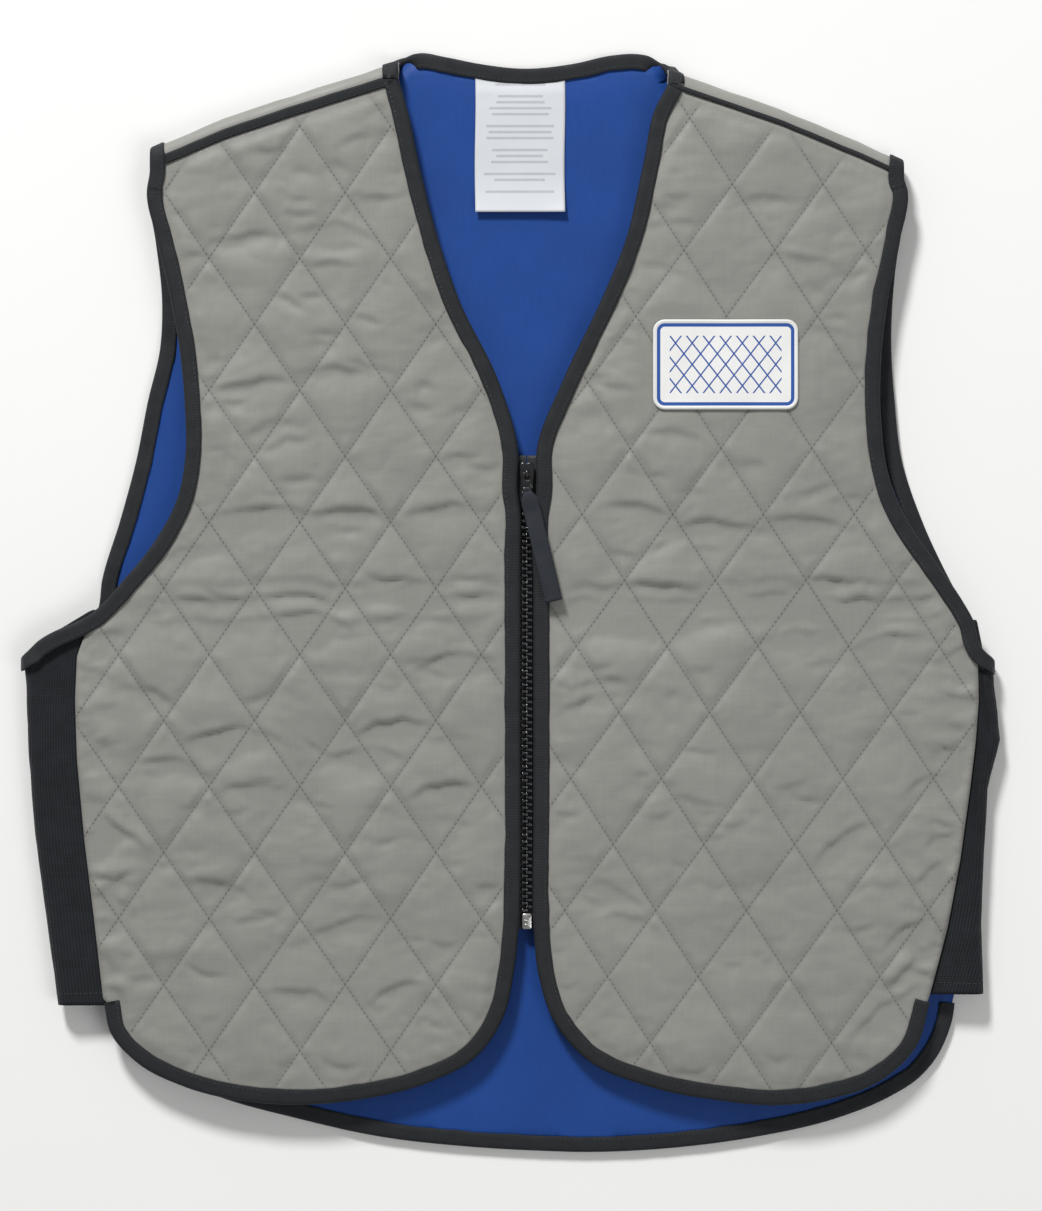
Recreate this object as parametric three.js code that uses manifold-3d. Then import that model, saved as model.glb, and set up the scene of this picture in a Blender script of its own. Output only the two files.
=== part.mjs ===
// A sleeveless quilted cooling vest, laid flat on its back with the front up.
// Millimetres. X runs across the chest, Y from the hem to the neck, Z up from the surface it lies on.
import * as THREE from 'three';
import { ConvexGeometry } from 'three/addons/geometries/ConvexGeometry.js';
import { mergeVertices } from 'three/addons/utils/BufferGeometryUtils.js';
import Module from 'manifold-3d';

const wasm = await Module();
wasm.setup();

// Overall size
const LENGTH = 664;
const WIDTH = 588;
const HALF_LENGTH = LENGTH / 2;
const HALF_WIDTH = WIDTH / 2;

// Cloth walls and the clearance between sewn pieces
const CLEARANCE = 0.35;
const PANEL_WALL = 1.8;
const FLANGE_WALL = 1.5;
const LINING_WALL = 1.0;
const SIDE_WALL = 1.6;
const BINDING_WIDTH = 9.5;
const BINDING_WALL = 1.0;

// Quilting: diamonds between crossing stitch lines
const QUILT_HALF_WIDTH = 27.2;
const QUILT_HALF_HEIGHT = 39.6;
const STITCH_RISE = 0.25;
const FRONT_PUFF = 3.2;
const PAD_SHARE = 0.74;
const PILLOW_SHARE = 0.52;
const PILLOW_LEVEL = 0.8;
const LEFT_CROSSING = { x: -127.2, y: 126.9, lean: 0 };
const RIGHT_CROSSING = { x: 144, y: -105.9, lean: 0.043 };
const BACK_CROSSING = { x: 0, y: 0, lean: 0 };

// Height of the front panels over the back
const FRONT_HEIGHT = 12;
const FRONT_RISE = 2.2;
const CREST_SHARE = 0.55;

// Zipper
const ZIPPER_X = 9;
const ZIPPER_GAP = 7.8;
const ZIPPER_TOP = 88;
const ZIPPER_LENGTH = 285;
const ZIPPER_TAPE_WALL = 1.0;
const ZIPPER_TAPE_REACH = 12.8;
const CHAIN_WIDTH = 6.4;
const CHAIN_THICKNESS = 3;
const TOOTH_PITCH = 6;
const TOOTH_LENGTH = 2.0;
const TOOTH_ROOT = 1.5;
const TOOTH_OVERLAP = 0.7;
const BOX_LENGTH = 10;

// Slider, puller and its fabric tab
const SLIDER_WIDTH = 9;
const SLIDER_LENGTH = 17;
const SLIDER_SET_DOWN = 4;
const SLIDER_PLATE = 1.2;
const SLIDER_ENTRY = 6;
const CROWN_WIDTH = 2.2;
const CROWN_RADIUS = 2.7;
const CROWN_RISE = 3.7;
const STEM_SHARE = 0.8;
const ROD_RADIUS = 0.8;
const ROD_CLEARANCE = 0.4;
const PULLER_WIDTH = 5.6;
const PULLER_LENGTH = 17;
const PULLER_WALL = 1.4;
const TAB_LENGTH = 68;
const TAB_WIDTH = 10.5;
const TAB_WALL = 1.0;
const TAB_THICKNESS = 2.4;
const TAB_GRIP = 5;
const TAB_LEAN = 13.5;
const TAB_LIFT = 4;

// Neck label and chest patch
const LABEL = { x: 4.8, width: 54, length: 85, wall: 0.8, curl: 3 };
// The label lies flat down to the first of these shares of its length and curls up over the rest.
const LABEL_ROWS = [0.7, 0.82, 0.92, 1];
const PATCH = { x: 128, y: 142, width: 87, height: 54, corner: 7, wall: 1.2 };

// Front edges from the side seam round the hem and up the neckline to the shoulder.
// out: from the zipper edge, share of the half width. up: share of the half length.
const FRONT_EDGE = {
  left: [
    { out: 0.850, up: -0.725 },
    { out: 0.837, up: -0.778 },
    { out: 0.784, up: -0.832 },
    { out: 0.684, up: -0.877 },
    { out: 0.527, up: -0.906 },
    { out: 0.323, up: -0.899 },
    { out: 0.184, up: -0.868 },
    { out: 0.090, up: -0.823 },
    { out: 0.035, up: -0.752 },
    { out: 0.013, up: -0.669 },
    { out: 0.003, up: -0.584 },
    { out: 0.000, up: -0.500 },
    { out: 0.000, up: 0.170 },
    { out: 0.005, up: 0.198 },
    { out: 0.005, up: 0.272 },
    { out: 0.044, up: 0.397 },
    { out: 0.125, up: 0.545 },
    { out: 0.170, up: 0.662 },
    { out: 0.205, up: 0.783 },
    { out: 0.231, up: 0.890 },
  ],
  right: [
    { out: 0.809, up: -0.725 },
    { out: 0.780, up: -0.805 },
    { out: 0.711, up: -0.864 },
    { out: 0.591, up: -0.901 },
    { out: 0.493, up: -0.910 },
    { out: 0.385, up: -0.902 },
    { out: 0.238, up: -0.877 },
    { out: 0.109, up: -0.828 },
    { out: 0.040, up: -0.756 },
    { out: 0.010, up: -0.675 },
    { out: 0.000, up: -0.584 },
    { out: 0.000, up: 0.170 },
    { out: 0.005, up: 0.198 },
    { out: 0.006, up: 0.272 },
    { out: 0.060, up: 0.400 },
    { out: 0.138, up: 0.545 },
    { out: 0.187, up: 0.651 },
    { out: 0.225, up: 0.796 },
    { out: 0.248, up: 0.890 },
  ],
};

// Armhole edges, front ones from the shoulder down and back ones from the side seam up.
// out: from the middle of the vest, share of the half width. up: share of the half length.
const ARMHOLE_FRONT = {
  left: [
    { out: 0.745, up: 0.742 },
    { out: 0.724, up: 0.653 },
    { out: 0.696, up: 0.545 },
    { out: 0.676, up: 0.440 },
    { out: 0.667, up: 0.346 },
    { out: 0.666, up: 0.265 },
    { out: 0.684, up: 0.183 },
    { out: 0.727, up: 0.111 },
    { out: 0.792, up: 0.039 },
    { out: 0.849, up: -0.015 },
  ],
  right: [
    { out: 0.806, up: 0.748 },
    { out: 0.792, up: 0.653 },
    { out: 0.767, up: 0.545 },
    { out: 0.753, up: 0.436 },
    { out: 0.753, up: 0.328 },
    { out: 0.771, up: 0.220 },
    { out: 0.806, up: 0.147 },
    { out: 0.861, up: 0.075 },
    { out: 0.918, up: 0.003 },
    { out: 0.941, up: -0.033 },
  ],
};
const ARMHOLE_BACK = {
  left: [
    { out: 0.851, up: -0.017 },
    { out: 0.841, up: 0.039 },
    { out: 0.804, up: 0.147 },
    { out: 0.771, up: 0.256 },
    { out: 0.747, up: 0.364 },
    { out: 0.722, up: 0.460 },
    { out: 0.718, up: 0.545 },
    { out: 0.731, up: 0.653 },
    { out: 0.745, up: 0.735 },
  ],
  right: [
    { out: 0.943, up: -0.035 },
    { out: 0.898, up: 0.039 },
    { out: 0.841, up: 0.147 },
    { out: 0.800, up: 0.256 },
    { out: 0.785, up: 0.364 },
    { out: 0.778, up: 0.472 },
    { out: 0.784, up: 0.581 },
    { out: 0.800, up: 0.689 },
    { out: 0.806, up: 0.740 },
  ],
};

// Shoulder folds from the neck to the armhole, same shares as the armholes.
const SHOULDER_FOLD = {
  left: [
    { out: 0.231, up: 0.977 },
    { out: 0.433, up: 0.921 },
    { out: 0.588, up: 0.875 },
    { out: 0.739, up: 0.818 },
  ],
  right: [
    { out: 0.318, up: 0.962 },
    { out: 0.553, up: 0.890 },
    { out: 0.710, up: 0.832 },
    { out: 0.800, up: 0.796 },
  ],
};
// Shoulder tapes: how far below the fold each starts, and its width.
const SHOULDER_TAPE = {
  left: { down: 7.4, width: 6.2 },
  right: { down: 7.4, width: 3.0 },
};

// Back neck edge between the two shoulder folds. x and y are shares of the half sizes.
const NECK_EDGE = [
  { x: -0.190, up: 0.996 },
  { x: -0.137, up: 0.989 },
  { x: -0.069, up: 0.977 },
  { x: 0.027, up: 0.968 },
  { x: 0.127, up: 0.977 },
  { x: 0.205, up: 0.992 },
  { x: 0.262, up: 0.994 },
];

// Back hem edge from the left side seam to the right one.
const HEM_EDGE = [
  { x: -0.833, up: -0.725 },
  { x: -0.829, up: -0.760 },
  { x: -0.804, up: -0.798 },
  { x: -0.754, up: -0.838 },
  { x: -0.680, up: -0.872 },
  { x: -0.594, up: -0.902 },
  { x: -0.445, up: -0.938 },
  { x: -0.271, up: -0.972 },
  { x: -0.106, up: -0.989 },
  { x: 0.037, up: -0.997 },
  { x: 0.159, up: -1.000 },
  { x: 0.322, up: -0.993 },
  { x: 0.496, up: -0.973 },
  { x: 0.671, up: -0.937 },
  { x: 0.771, up: -0.901 },
  { x: 0.836, up: -0.864 },
  { x: 0.872, up: -0.826 },
  { x: 0.892, up: -0.790 },
  { x: 0.904, up: -0.756 },
  { x: 0.908, up: -0.730 },
];

// Side panels from the armhole down: the seam to the front, the one to the back and the fold outside.
const SIDE_PANEL = {
  left: [
    { up: -0.015, seam: 0.853, back: 0.853, fold: 0.985 },
    { up: -0.098, seam: 0.888, back: 0.888, fold: 1.000 },
    { up: -0.178, seam: 0.892, back: 0.892, fold: 0.996 },
    { up: -0.286, seam: 0.888, back: 0.888, fold: 0.990 },
    { up: -0.431, seam: 0.873, back: 0.873, fold: 0.976 },
    { up: -0.575, seam: 0.853, back: 0.853, fold: 0.954 },
    { up: -0.730, seam: 0.833, back: 0.833, fold: 0.929 },
  ],
  right: [
    { up: -0.033, seam: 0.943, back: 0.940, fold: 0.978 },
    { up: -0.106, seam: 0.951, back: 0.944, fold: 0.984 },
    { up: -0.178, seam: 0.953, back: 0.947, fold: 0.993 },
    { up: -0.250, seam: 0.947, back: 0.947, fold: 1.000 },
    { up: -0.340, seam: 0.935, back: 0.940, fold: 0.974 },
    { up: -0.467, seam: 0.915, back: 0.935, fold: 0.967 },
    { up: -0.590, seam: 0.889, back: 0.922, fold: 0.960 },
    { up: -0.710, seam: 0.853, back: 0.908, fold: 0.965 },
  ],
};
// How far the top edge of a side panel dips from its seam to its fold, share of the half length.
const SIDE_DIP = { left: 0.083, right: 0.070 };

// Creases across the fronts, where the vest was folded. reach: share of the half length.
const CREASES = [
  { up: 0.010, depth: 0.55, reach: 0.060 },
  { up: -0.560, depth: 0.20, reach: 0.050 },
  { up: 0.640, depth: 0.20, reach: 0.050 },
];

// Colours
const GREY = { color: 0x8c8b87, roughness: 0.62, metalness: 0 };
const BLUE = { color: 0x284788, roughness: 0.55, metalness: 0 };
const BLACK = { color: 0x2b2f33, roughness: 0.85, metalness: 0 };
const TEETH = { color: 0x1d1f22, roughness: 0.35, metalness: 0 };
const STEEL = { color: 0xa9abad, roughness: 0.3, metalness: 1 };
const WHITE = { color: 0xf1f1ee, roughness: 0.8, metalness: 0 };

// Levels worked out from the walls
const SEAT = BINDING_WALL + CLEARANCE;
const BINDING_THICKNESS = PANEL_WALL + 2 * SEAT;
const BACK_MIDDLE = BINDING_THICKNESS / 2;
const BACK_TOP = BACK_MIDDLE + PANEL_WALL / 2;
const LINING_BOTTOM = BACK_TOP + CLEARANCE;
const LINING_TOP = LINING_BOTTOM + LINING_WALL;
const PANEL_INSET = BINDING_WIDTH + CLEARANCE;
const FLANGE_REACH = PANEL_INSET + 3;
const BELOW = -10;
const ABOVE = FRONT_HEIGHT + FRONT_RISE + FRONT_PUFF + 20;
const FAR = HALF_WIDTH + 60;
const SIDE_TUCK = 3;
const SIGN = { left: -1, right: 1 };
const PLAN = [{ x: -FAR, y: -FAR }, { x: FAR, y: -FAR }, { x: FAR, y: FAR }, { x: -FAR, y: FAR }];

// Solids

function solid(geometry) {
  const bare = geometry.clone();
  bare.deleteAttribute('normal');
  bare.deleteAttribute('uv');
  const merged = mergeVertices(bare, 1e-4);
  return new wasm.Manifold(new wasm.Mesh({
    numProp: 3,
    vertProperties: new Float32Array(merged.attributes.position.array),
    triVerts: new Uint32Array(merged.index.array),
  }));
}

// Sets the corners of a cut piece on a fine grid, where close ones become one and slivers close up.
const FINEST = 0.02;
function onGrid(body) {
  const mesh = body.getMesh();
  const places = new Map();
  const corners = [];
  const place = [];
  for (let k = 0; k < mesh.vertProperties.length; k += 3) {
    const steps = Array.from(mesh.vertProperties.subarray(k, k + 3), (value) => Math.round(value / FINEST));
    const key = steps.join(' ');
    if (!places.has(key)) {
      places.set(key, corners.length / 3);
      corners.push(...steps.map((step) => step * FINEST));
    }
    place.push(places.get(key));
  }
  const faces = new Map();
  for (let k = 0; k < mesh.triVerts.length; k += 3) {
    const [a, b, c] = Array.from(mesh.triVerts.subarray(k, k + 3), (corner) => place[corner]);
    if (a === b || b === c || c === a) continue;
    const turned = [[a, b, c], [b, c, a], [c, a, b]].reduce((best, way) => (way[0] < best[0] ? way : best));
    const opposite = [turned[0], turned[2], turned[1]].join(' ');
    if (faces.get(opposite)?.length > 0) {
      faces.get(opposite).pop();
      continue;
    }
    const key = turned.join(' ');
    faces.set(key, [...(faces.get(key) ?? []), turned]);
  }
  return new wasm.Manifold(new wasm.Mesh({
    numProp: 3,
    vertProperties: new Float32Array(corners),
    triVerts: new Uint32Array([...faces.values()].flat(2)),
  }));
}

function shapeOf(body) {
  const mesh = largest(onGrid(body).simplify(FINEST)).getMesh();
  const geometry = new THREE.BufferGeometry();
  geometry.setAttribute('position', new THREE.BufferAttribute(mesh.vertProperties, 3));
  geometry.setIndex(new THREE.BufferAttribute(mesh.triVerts, 1));
  geometry.computeVertexNormals();
  return geometry;
}

// The main body of a cut, without the crumbs at its corners
function largest(body) {
  return body.decompose().reduce((best, part) => (part.volume() > best.volume() ? part : best));
}

// A closed geometry from corners and triangles, turned so that its faces point out.
function closedGeometry(corners, faces) {
  let volume = 0;
  const product = new THREE.Vector3();
  for (const [a, b, c] of faces) {
    volume += product.crossVectors(corners[a], corners[b]).dot(corners[c]);
  }
  const order = volume < 0 ? faces.map(([a, b, c]) => [a, c, b]) : faces;
  const geometry = new THREE.BufferGeometry();
  geometry.setAttribute('position', new THREE.Float32BufferAttribute(corners.flatMap((p) => p.toArray()), 3));
  geometry.setIndex(order.flat());
  geometry.computeVertexNormals();
  return geometry;
}

function prism(outline, bottom, top) {
  const shape = new THREE.Shape(outline.map((p) => new THREE.Vector2(p.x, p.y)));
  const geometry = new THREE.ExtrudeGeometry(shape, { depth: top - bottom, bevelEnabled: false });
  geometry.translate(0, 0, bottom);
  return solid(geometry);
}

function block(x0, x1, y0, y1, z0, z1) {
  const geometry = new THREE.BoxGeometry(x1 - x0, y1 - y0, z1 - z0);
  geometry.translate((x0 + x1) / 2, (y0 + y1) / 2, (z0 + z1) / 2);
  return geometry;
}

// Stations along an edge, from points with the cloth's normal there and, on a fold, its ruling.
// Each station holds its point, the way along the edge, the way into the cloth and the way off it.
function stationsAlong(places, closed) {
  const count = places.length;
  return places.map(({ point, normal: facing, ruling }, k) => {
    const before = places[closed ? (k + count - 1) % count : Math.max(k - 1, 0)].point;
    const after = places[closed ? (k + 1) % count : Math.min(k + 1, count - 1)].point;
    const arrive = point.clone().sub(before).normalize();
    const leave = after.clone().sub(point).normalize();
    const along = arrive.clone().add(leave).normalize();
    if (ruling) {
      return { point, along, inward: ruling, normal: along.clone().cross(ruling).normalize() };
    }
    const inward = facing.clone().cross(along).normalize();
    const normal = along.clone().cross(inward);
    const ahead = leave.lengthSq() > 0 ? leave : arrive;
    const sideways = ahead.dot(inward);
    const lift = ahead.dot(normal);
    inward.multiplyScalar(1 / Math.sqrt(1 - sideways * sideways));
    normal.multiplyScalar(1 / Math.sqrt(1 - lift * lift));
    return { point, along, inward, normal };
  });
}

function insetPoint(station, distance) {
  return station.point.clone().addScaledVector(station.inward, distance);
}

// Sweeps a flat section along stations. Each corner of the section is { in, out }.
function sweep(stations, section, closed) {
  const sides = section.length;
  const corners = [];
  for (const { point, inward, normal } of stations) {
    for (const corner of section) {
      corners.push(point.clone().addScaledVector(inward, corner.in).addScaledVector(normal, corner.out));
    }
  }
  const faces = [];
  const spans = closed ? stations.length : stations.length - 1;
  for (let k = 0; k < spans; k++) {
    const here = k * sides;
    const next = ((k + 1) % stations.length) * sides;
    for (let j = 0; j < sides; j++) {
      const j2 = (j + 1) % sides;
      faces.push([here + j, here + j2, next + j2], [here + j, next + j2, next + j]);
    }
  }
  if (!closed) {
    const flat = section.map((corner) => new THREE.Vector2(corner.in, corner.out));
    const last = (stations.length - 1) * sides;
    for (const [a, b, c] of THREE.ShapeUtils.triangulateShape(flat, [])) {
      const agrees = THREE.ShapeUtils.area([flat[a], flat[b], flat[c]]) * THREE.ShapeUtils.area(flat) > 0;
      const cap = agrees ? [a, c, b] : [a, b, c];
      faces.push(cap, [cap[0] + last, cap[2] + last, cap[1] + last]);
    }
  }
  return closedGeometry(corners, faces);
}

// Sweeps convex sections along stations, each span as a convex block of its own,
// so that tight turns stay clean.
function sweepBlocks(stations, sections) {
  const blocks = [];
  for (let k = 0; k + 1 < stations.length; k++) {
    for (const section of sections) {
      const points = [stations[k], stations[k + 1]].flatMap((station) => section.map((corner) => (
        insetPoint(station, corner.in).addScaledVector(station.normal, corner.out))));
      blocks.push(solid(new ConvexGeometry(points)));
    }
  }
  return wasm.Manifold.union(blocks);
}

// The section of a binding folded round a cloth edge, with its walls grown inwards for the room it takes
function bindingSection(growth) {
  const half = BINDING_THICKNESS / 2;
  const slot = half - BINDING_WALL - growth;
  return [
    { in: BINDING_WIDTH, out: -half },
    { in: BINDING_WIDTH, out: -slot },
    { in: BINDING_WALL + growth, out: -slot },
    { in: BINDING_WALL + growth, out: slot },
    { in: BINDING_WIDTH, out: slot },
    { in: BINDING_WIDTH, out: half },
    { in: 0, out: half },
    { in: 0, out: -half },
  ];
}

// The same section as its two walls and its fold
function bindingStrips(growth) {
  const half = BINDING_THICKNESS / 2;
  const wall = BINDING_WALL + growth;
  const strip = (reach, low, high) => [[0, low], [reach, low], [reach, high], [0, high]]
    .map(([inset, out]) => ({ in: inset, out }));
  return [
    strip(BINDING_WIDTH, -half, wall - half),
    strip(wall, -half, half),
    strip(BINDING_WIDTH, half - wall, half),
  ];
}

// The section of a panel's sewn edge, which sits in the binding
function flangeSection() {
  const half = FLANGE_WALL / 2;
  return [
    { in: SEAT, out: -half },
    { in: FLANGE_REACH, out: -half },
    { in: FLANGE_REACH, out: half },
    { in: SEAT, out: half },
  ];
}

// The room that a binding takes with its clearance, and that of a flange
function roomSection(start, reach, thickness) {
  const half = thickness / 2 + CLEARANCE;
  return [
    { in: start, out: -half },
    { in: reach, out: -half },
    { in: reach, out: half },
    { in: start, out: half },
  ];
}

// A cloth sheet of even thickness over a grid of points, along their normals where those are given
function thickSheet(grid, thickness, normals) {
  const rows = grid.length;
  const columns = grid[0].length;
  const corners = [];
  for (const way of [0.5, -0.5]) {
    for (let r = 0; r < rows; r++) {
      for (let c = 0; c < columns; c++) {
        const rowWay = grid[r][Math.min(c + 1, columns - 1)].clone().sub(grid[r][Math.max(c - 1, 0)]);
        const columnWay = grid[Math.min(r + 1, rows - 1)][c].clone().sub(grid[Math.max(r - 1, 0)][c]);
        const normal = normals?.[r][c] ?? rowWay.cross(columnWay).normalize();
        corners.push(grid[r][c].clone().addScaledVector(normal, way * thickness));
      }
    }
  }
  const under = rows * columns;
  const faces = [];
  const quad = (a, b, c, d) => faces.push([a, b, c], [a, c, d]);
  for (let r = 0; r + 1 < rows; r++) {
    for (let c = 0; c + 1 < columns; c++) {
      const a = r * columns + c;
      quad(a, a + 1, a + columns + 1, a + columns);
      quad(under + a, under + a + columns, under + a + columns + 1, under + a + 1);
    }
    const left = r * columns;
    const right = left + columns - 1;
    quad(left, left + columns, under + left + columns, under + left);
    quad(right + columns, right, under + right, under + right + columns);
  }
  for (let c = 0; c + 1 < columns; c++) {
    const low = (rows - 1) * columns + c;
    quad(c + 1, c, under + c, under + c + 1);
    quad(low, low + 1, under + low + 1, under + low);
  }
  return closedGeometry(corners, faces);
}

// A block of quilting over all diamonds inside given bounds.
// top and bottom give heights for a stitch crossing, a pillow's shoulder or its middle.
function quiltBlock(crossing, bounds, top, bottom) {
  const columns = { low: Math.floor((bounds.x0 - crossing.x) / QUILT_HALF_WIDTH) - 2, high: 0 };
  columns.high = Math.ceil((bounds.x1 - crossing.x) / QUILT_HALF_WIDTH) + 2;
  const rows = { low: Math.floor((bounds.y0 - crossing.y) / QUILT_HALF_HEIGHT) - 1, high: 0 };
  rows.high = Math.ceil((bounds.y1 - crossing.y) / QUILT_HALF_HEIGHT) + 1;
  const corners = [];
  const faces = [];
  const known = new Map();
  const place = (i, j) => {
    const y = crossing.y + j * QUILT_HALF_HEIGHT;
    return { x: crossing.x + i * QUILT_HALF_WIDTH + crossing.lean * (y - crossing.y), y };
  };
  const vertex = (key, x, y, z) => {
    if (!known.has(key)) {
      known.set(key, corners.length);
      corners.push(new THREE.Vector3(x, y, z));
    }
    return known.get(key);
  };
  const border = new Map();
  for (let i = columns.low; i <= columns.high; i++) {
    for (let j = rows.low; j <= rows.high; j++) {
      if ((i + j) % 2 === 0) continue;
      const middle = place(i, j);
      const around = [[i + 1, j], [i, j + 1], [i - 1, j], [i, j - 1]];
      for (const [surface, heights, way] of [['top', top, 1], ['bottom', bottom, -1]]) {
        const outer = around.map(([a, b]) => {
          const p = place(a, b);
          return vertex(`${surface} ${a} ${b}`, p.x, p.y, heights.crossing(p.x, p.y));
        });
        const add = (a, b, c) => faces.push(way > 0 ? [a, b, c] : [a, c, b]);
        if (!heights.shoulder) {
          add(outer[0], outer[1], outer[2]);
          add(outer[0], outer[2], outer[3]);
          continue;
        }
        const inner = around.map(([a, b], k) => {
          const p = place(a, b);
          const x = middle.x + (p.x - middle.x) * heights.share;
          const y = middle.y + (p.y - middle.y) * heights.share;
          return vertex(`${surface} ring ${i} ${j} ${k}`, x, y, heights.shoulder(x, y));
        });
        for (let k = 0; k < 4; k++) {
          const next = (k + 1) % 4;
          add(outer[k], outer[next], inner[next]);
          add(outer[k], inner[next], inner[k]);
        }
        if (!heights.middle) {
          add(inner[0], inner[1], inner[2]);
          add(inner[0], inner[2], inner[3]);
          continue;
        }
        const level = heights.middle(middle.x, middle.y);
        const crown = vertex(`${surface} middle ${i} ${j}`, middle.x, middle.y, level);
        for (let k = 0; k < 4; k++) add(inner[k], inner[(k + 1) % 4], crown);
      }
      for (let k = 0; k < 4; k++) {
        const from = around[k].join(' ');
        const to = around[(k + 1) % 4].join(' ');
        if (!border.delete(`${to}>${from}`)) border.set(`${from}>${to}`, [from, to]);
      }
    }
  }
  for (const [from, to] of border.values()) {
    const [a, b] = [known.get(`bottom ${from}`), known.get(`bottom ${to}`)];
    const [c, d] = [known.get(`top ${to}`), known.get(`top ${from}`)];
    faces.push([a, b, c], [a, c, d]);
  }
  return solid(closedGeometry(corners, faces));
}

// Places

const across = (share) => share * HALF_WIDTH;
const along = (share) => share * HALF_LENGTH;

function lookUp(rows, at, key, value) {
  const up = rows[0][at] > rows[rows.length - 1][at];
  const sorted = up ? [...rows].reverse() : rows;
  let k = 0;
  while (k < sorted.length - 2 && key > sorted[k + 1][at]) k++;
  const share = (key - sorted[k][at]) / (sorted[k + 1][at] - sorted[k][at]);
  return sorted[k][value] + share * (sorted[k + 1][value] - sorted[k][value]);
}

function frontUnderside(x) {
  const share = Math.abs(x - ZIPPER_X) / HALF_WIDTH;
  return FRONT_HEIGHT + FRONT_RISE * (1 - (1 - share / CREST_SHARE) ** 2);
}

function frontMiddle(x) {
  return frontUnderside(x) + PANEL_WALL / 2;
}

function puffAt(y) {
  let share = 1;
  for (const crease of CREASES) {
    const distance = (y - along(crease.up)) / along(crease.reach);
    share -= crease.depth * Math.exp(-distance * distance);
  }
  return FRONT_PUFF * share;
}

const frontTop = {
  share: PILLOW_SHARE,
  crossing: (x) => frontUnderside(x) + PANEL_WALL + STITCH_RISE,
  shoulder: (x, y) => frontUnderside(x) + PANEL_WALL + STITCH_RISE + PILLOW_LEVEL * puffAt(y),
  middle: (x, y) => frontUnderside(x) + PANEL_WALL + STITCH_RISE + puffAt(y),
};
const frontBottom = { crossing: frontUnderside };
const backTop = { crossing: () => BACK_TOP };
const backBottom = {
  share: PAD_SHARE,
  crossing: () => BACK_MIDDLE - PANEL_WALL / 2 - STITCH_RISE / 2,
  shoulder: () => 0,
};
const raised = (heights, rise) => ({
  share: heights.share,
  crossing: (x, y) => heights.crossing(x, y) + rise,
  shoulder: (x, y) => heights.shoulder(x, y) + rise,
  middle: (x, y) => heights.middle(x, y) + rise,
});

// Shoulder fold height and radius at a place across the vest
function shoulderAt(side, x) {
  const out = SIGN[side] * x / HALF_WIDTH;
  const y = along(lookUp(SHOULDER_FOLD[side], 'out', out, 'up'));
  const radius = (frontMiddle(x) - BACK_MIDDLE) / 2;
  return { top: y, centre: y - PANEL_WALL / 2 - radius, radius, z: BACK_MIDDLE + radius };
}

// The way along a shoulder fold at one of its ends, into the cloth
function foldRuling(side, x, way) {
  const step = way * BINDING_WIDTH;
  const rise = shoulderAt(side, x + step).top - shoulderAt(side, x).top;
  return new THREE.Vector3(step, rise, 0).normalize();
}

// Points round a shoulder fold at one place across, from the back layer to the front layer
const ROLL_ANGLES = [-90, -45, 0, 45];
function rollColumn(side, x, backReach, frontDown, way = 0) {
  const fold = shoulderAt(side, x);
  const ruling = way === 0 ? null : foldRuling(side, x, way);
  const points = [{ y: fold.centre - backReach, z: BACK_MIDDLE, ny: 0, nz: -1 }];
  for (const degrees of ROLL_ANGLES) {
    const angle = THREE.MathUtils.degToRad(degrees);
    const [ny, nz] = [Math.cos(angle), Math.sin(angle)];
    points.push({ y: fold.centre + fold.radius * ny, z: fold.z + fold.radius * nz, ny, nz });
  }
  const { down } = SHOULDER_TAPE[side];
  for (const reach of frontDown > down ? [down, frontDown] : [down]) {
    points.push({ y: fold.top - reach, z: frontMiddle(x), ny: 0, nz: 1 });
  }
  return points.map((p) => ({
    point: new THREE.Vector3(x, p.y, p.z),
    normal: new THREE.Vector3(0, p.ny, p.nz),
    ruling,
  }));
}

function rollEnds(side) {
  const rows = SHOULDER_FOLD[side];
  const neck = SIGN[side] * across(rows[0].out);
  const arm = SIGN[side] * across(rows[rows.length - 1].out);
  return { neck, arm };
}

// Places across a shoulder, from the neck end of its cloth to the armhole end
function shoulderPlaces(side, inset) {
  const { neck, arm } = rollEnds(side);
  const sign = SIGN[side];
  const between = SHOULDER_FOLD[side].slice(1, -1).map(({ out }) => sign * across(out));
  return [neck + sign * inset, ...between, arm - sign * inset];
}

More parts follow.
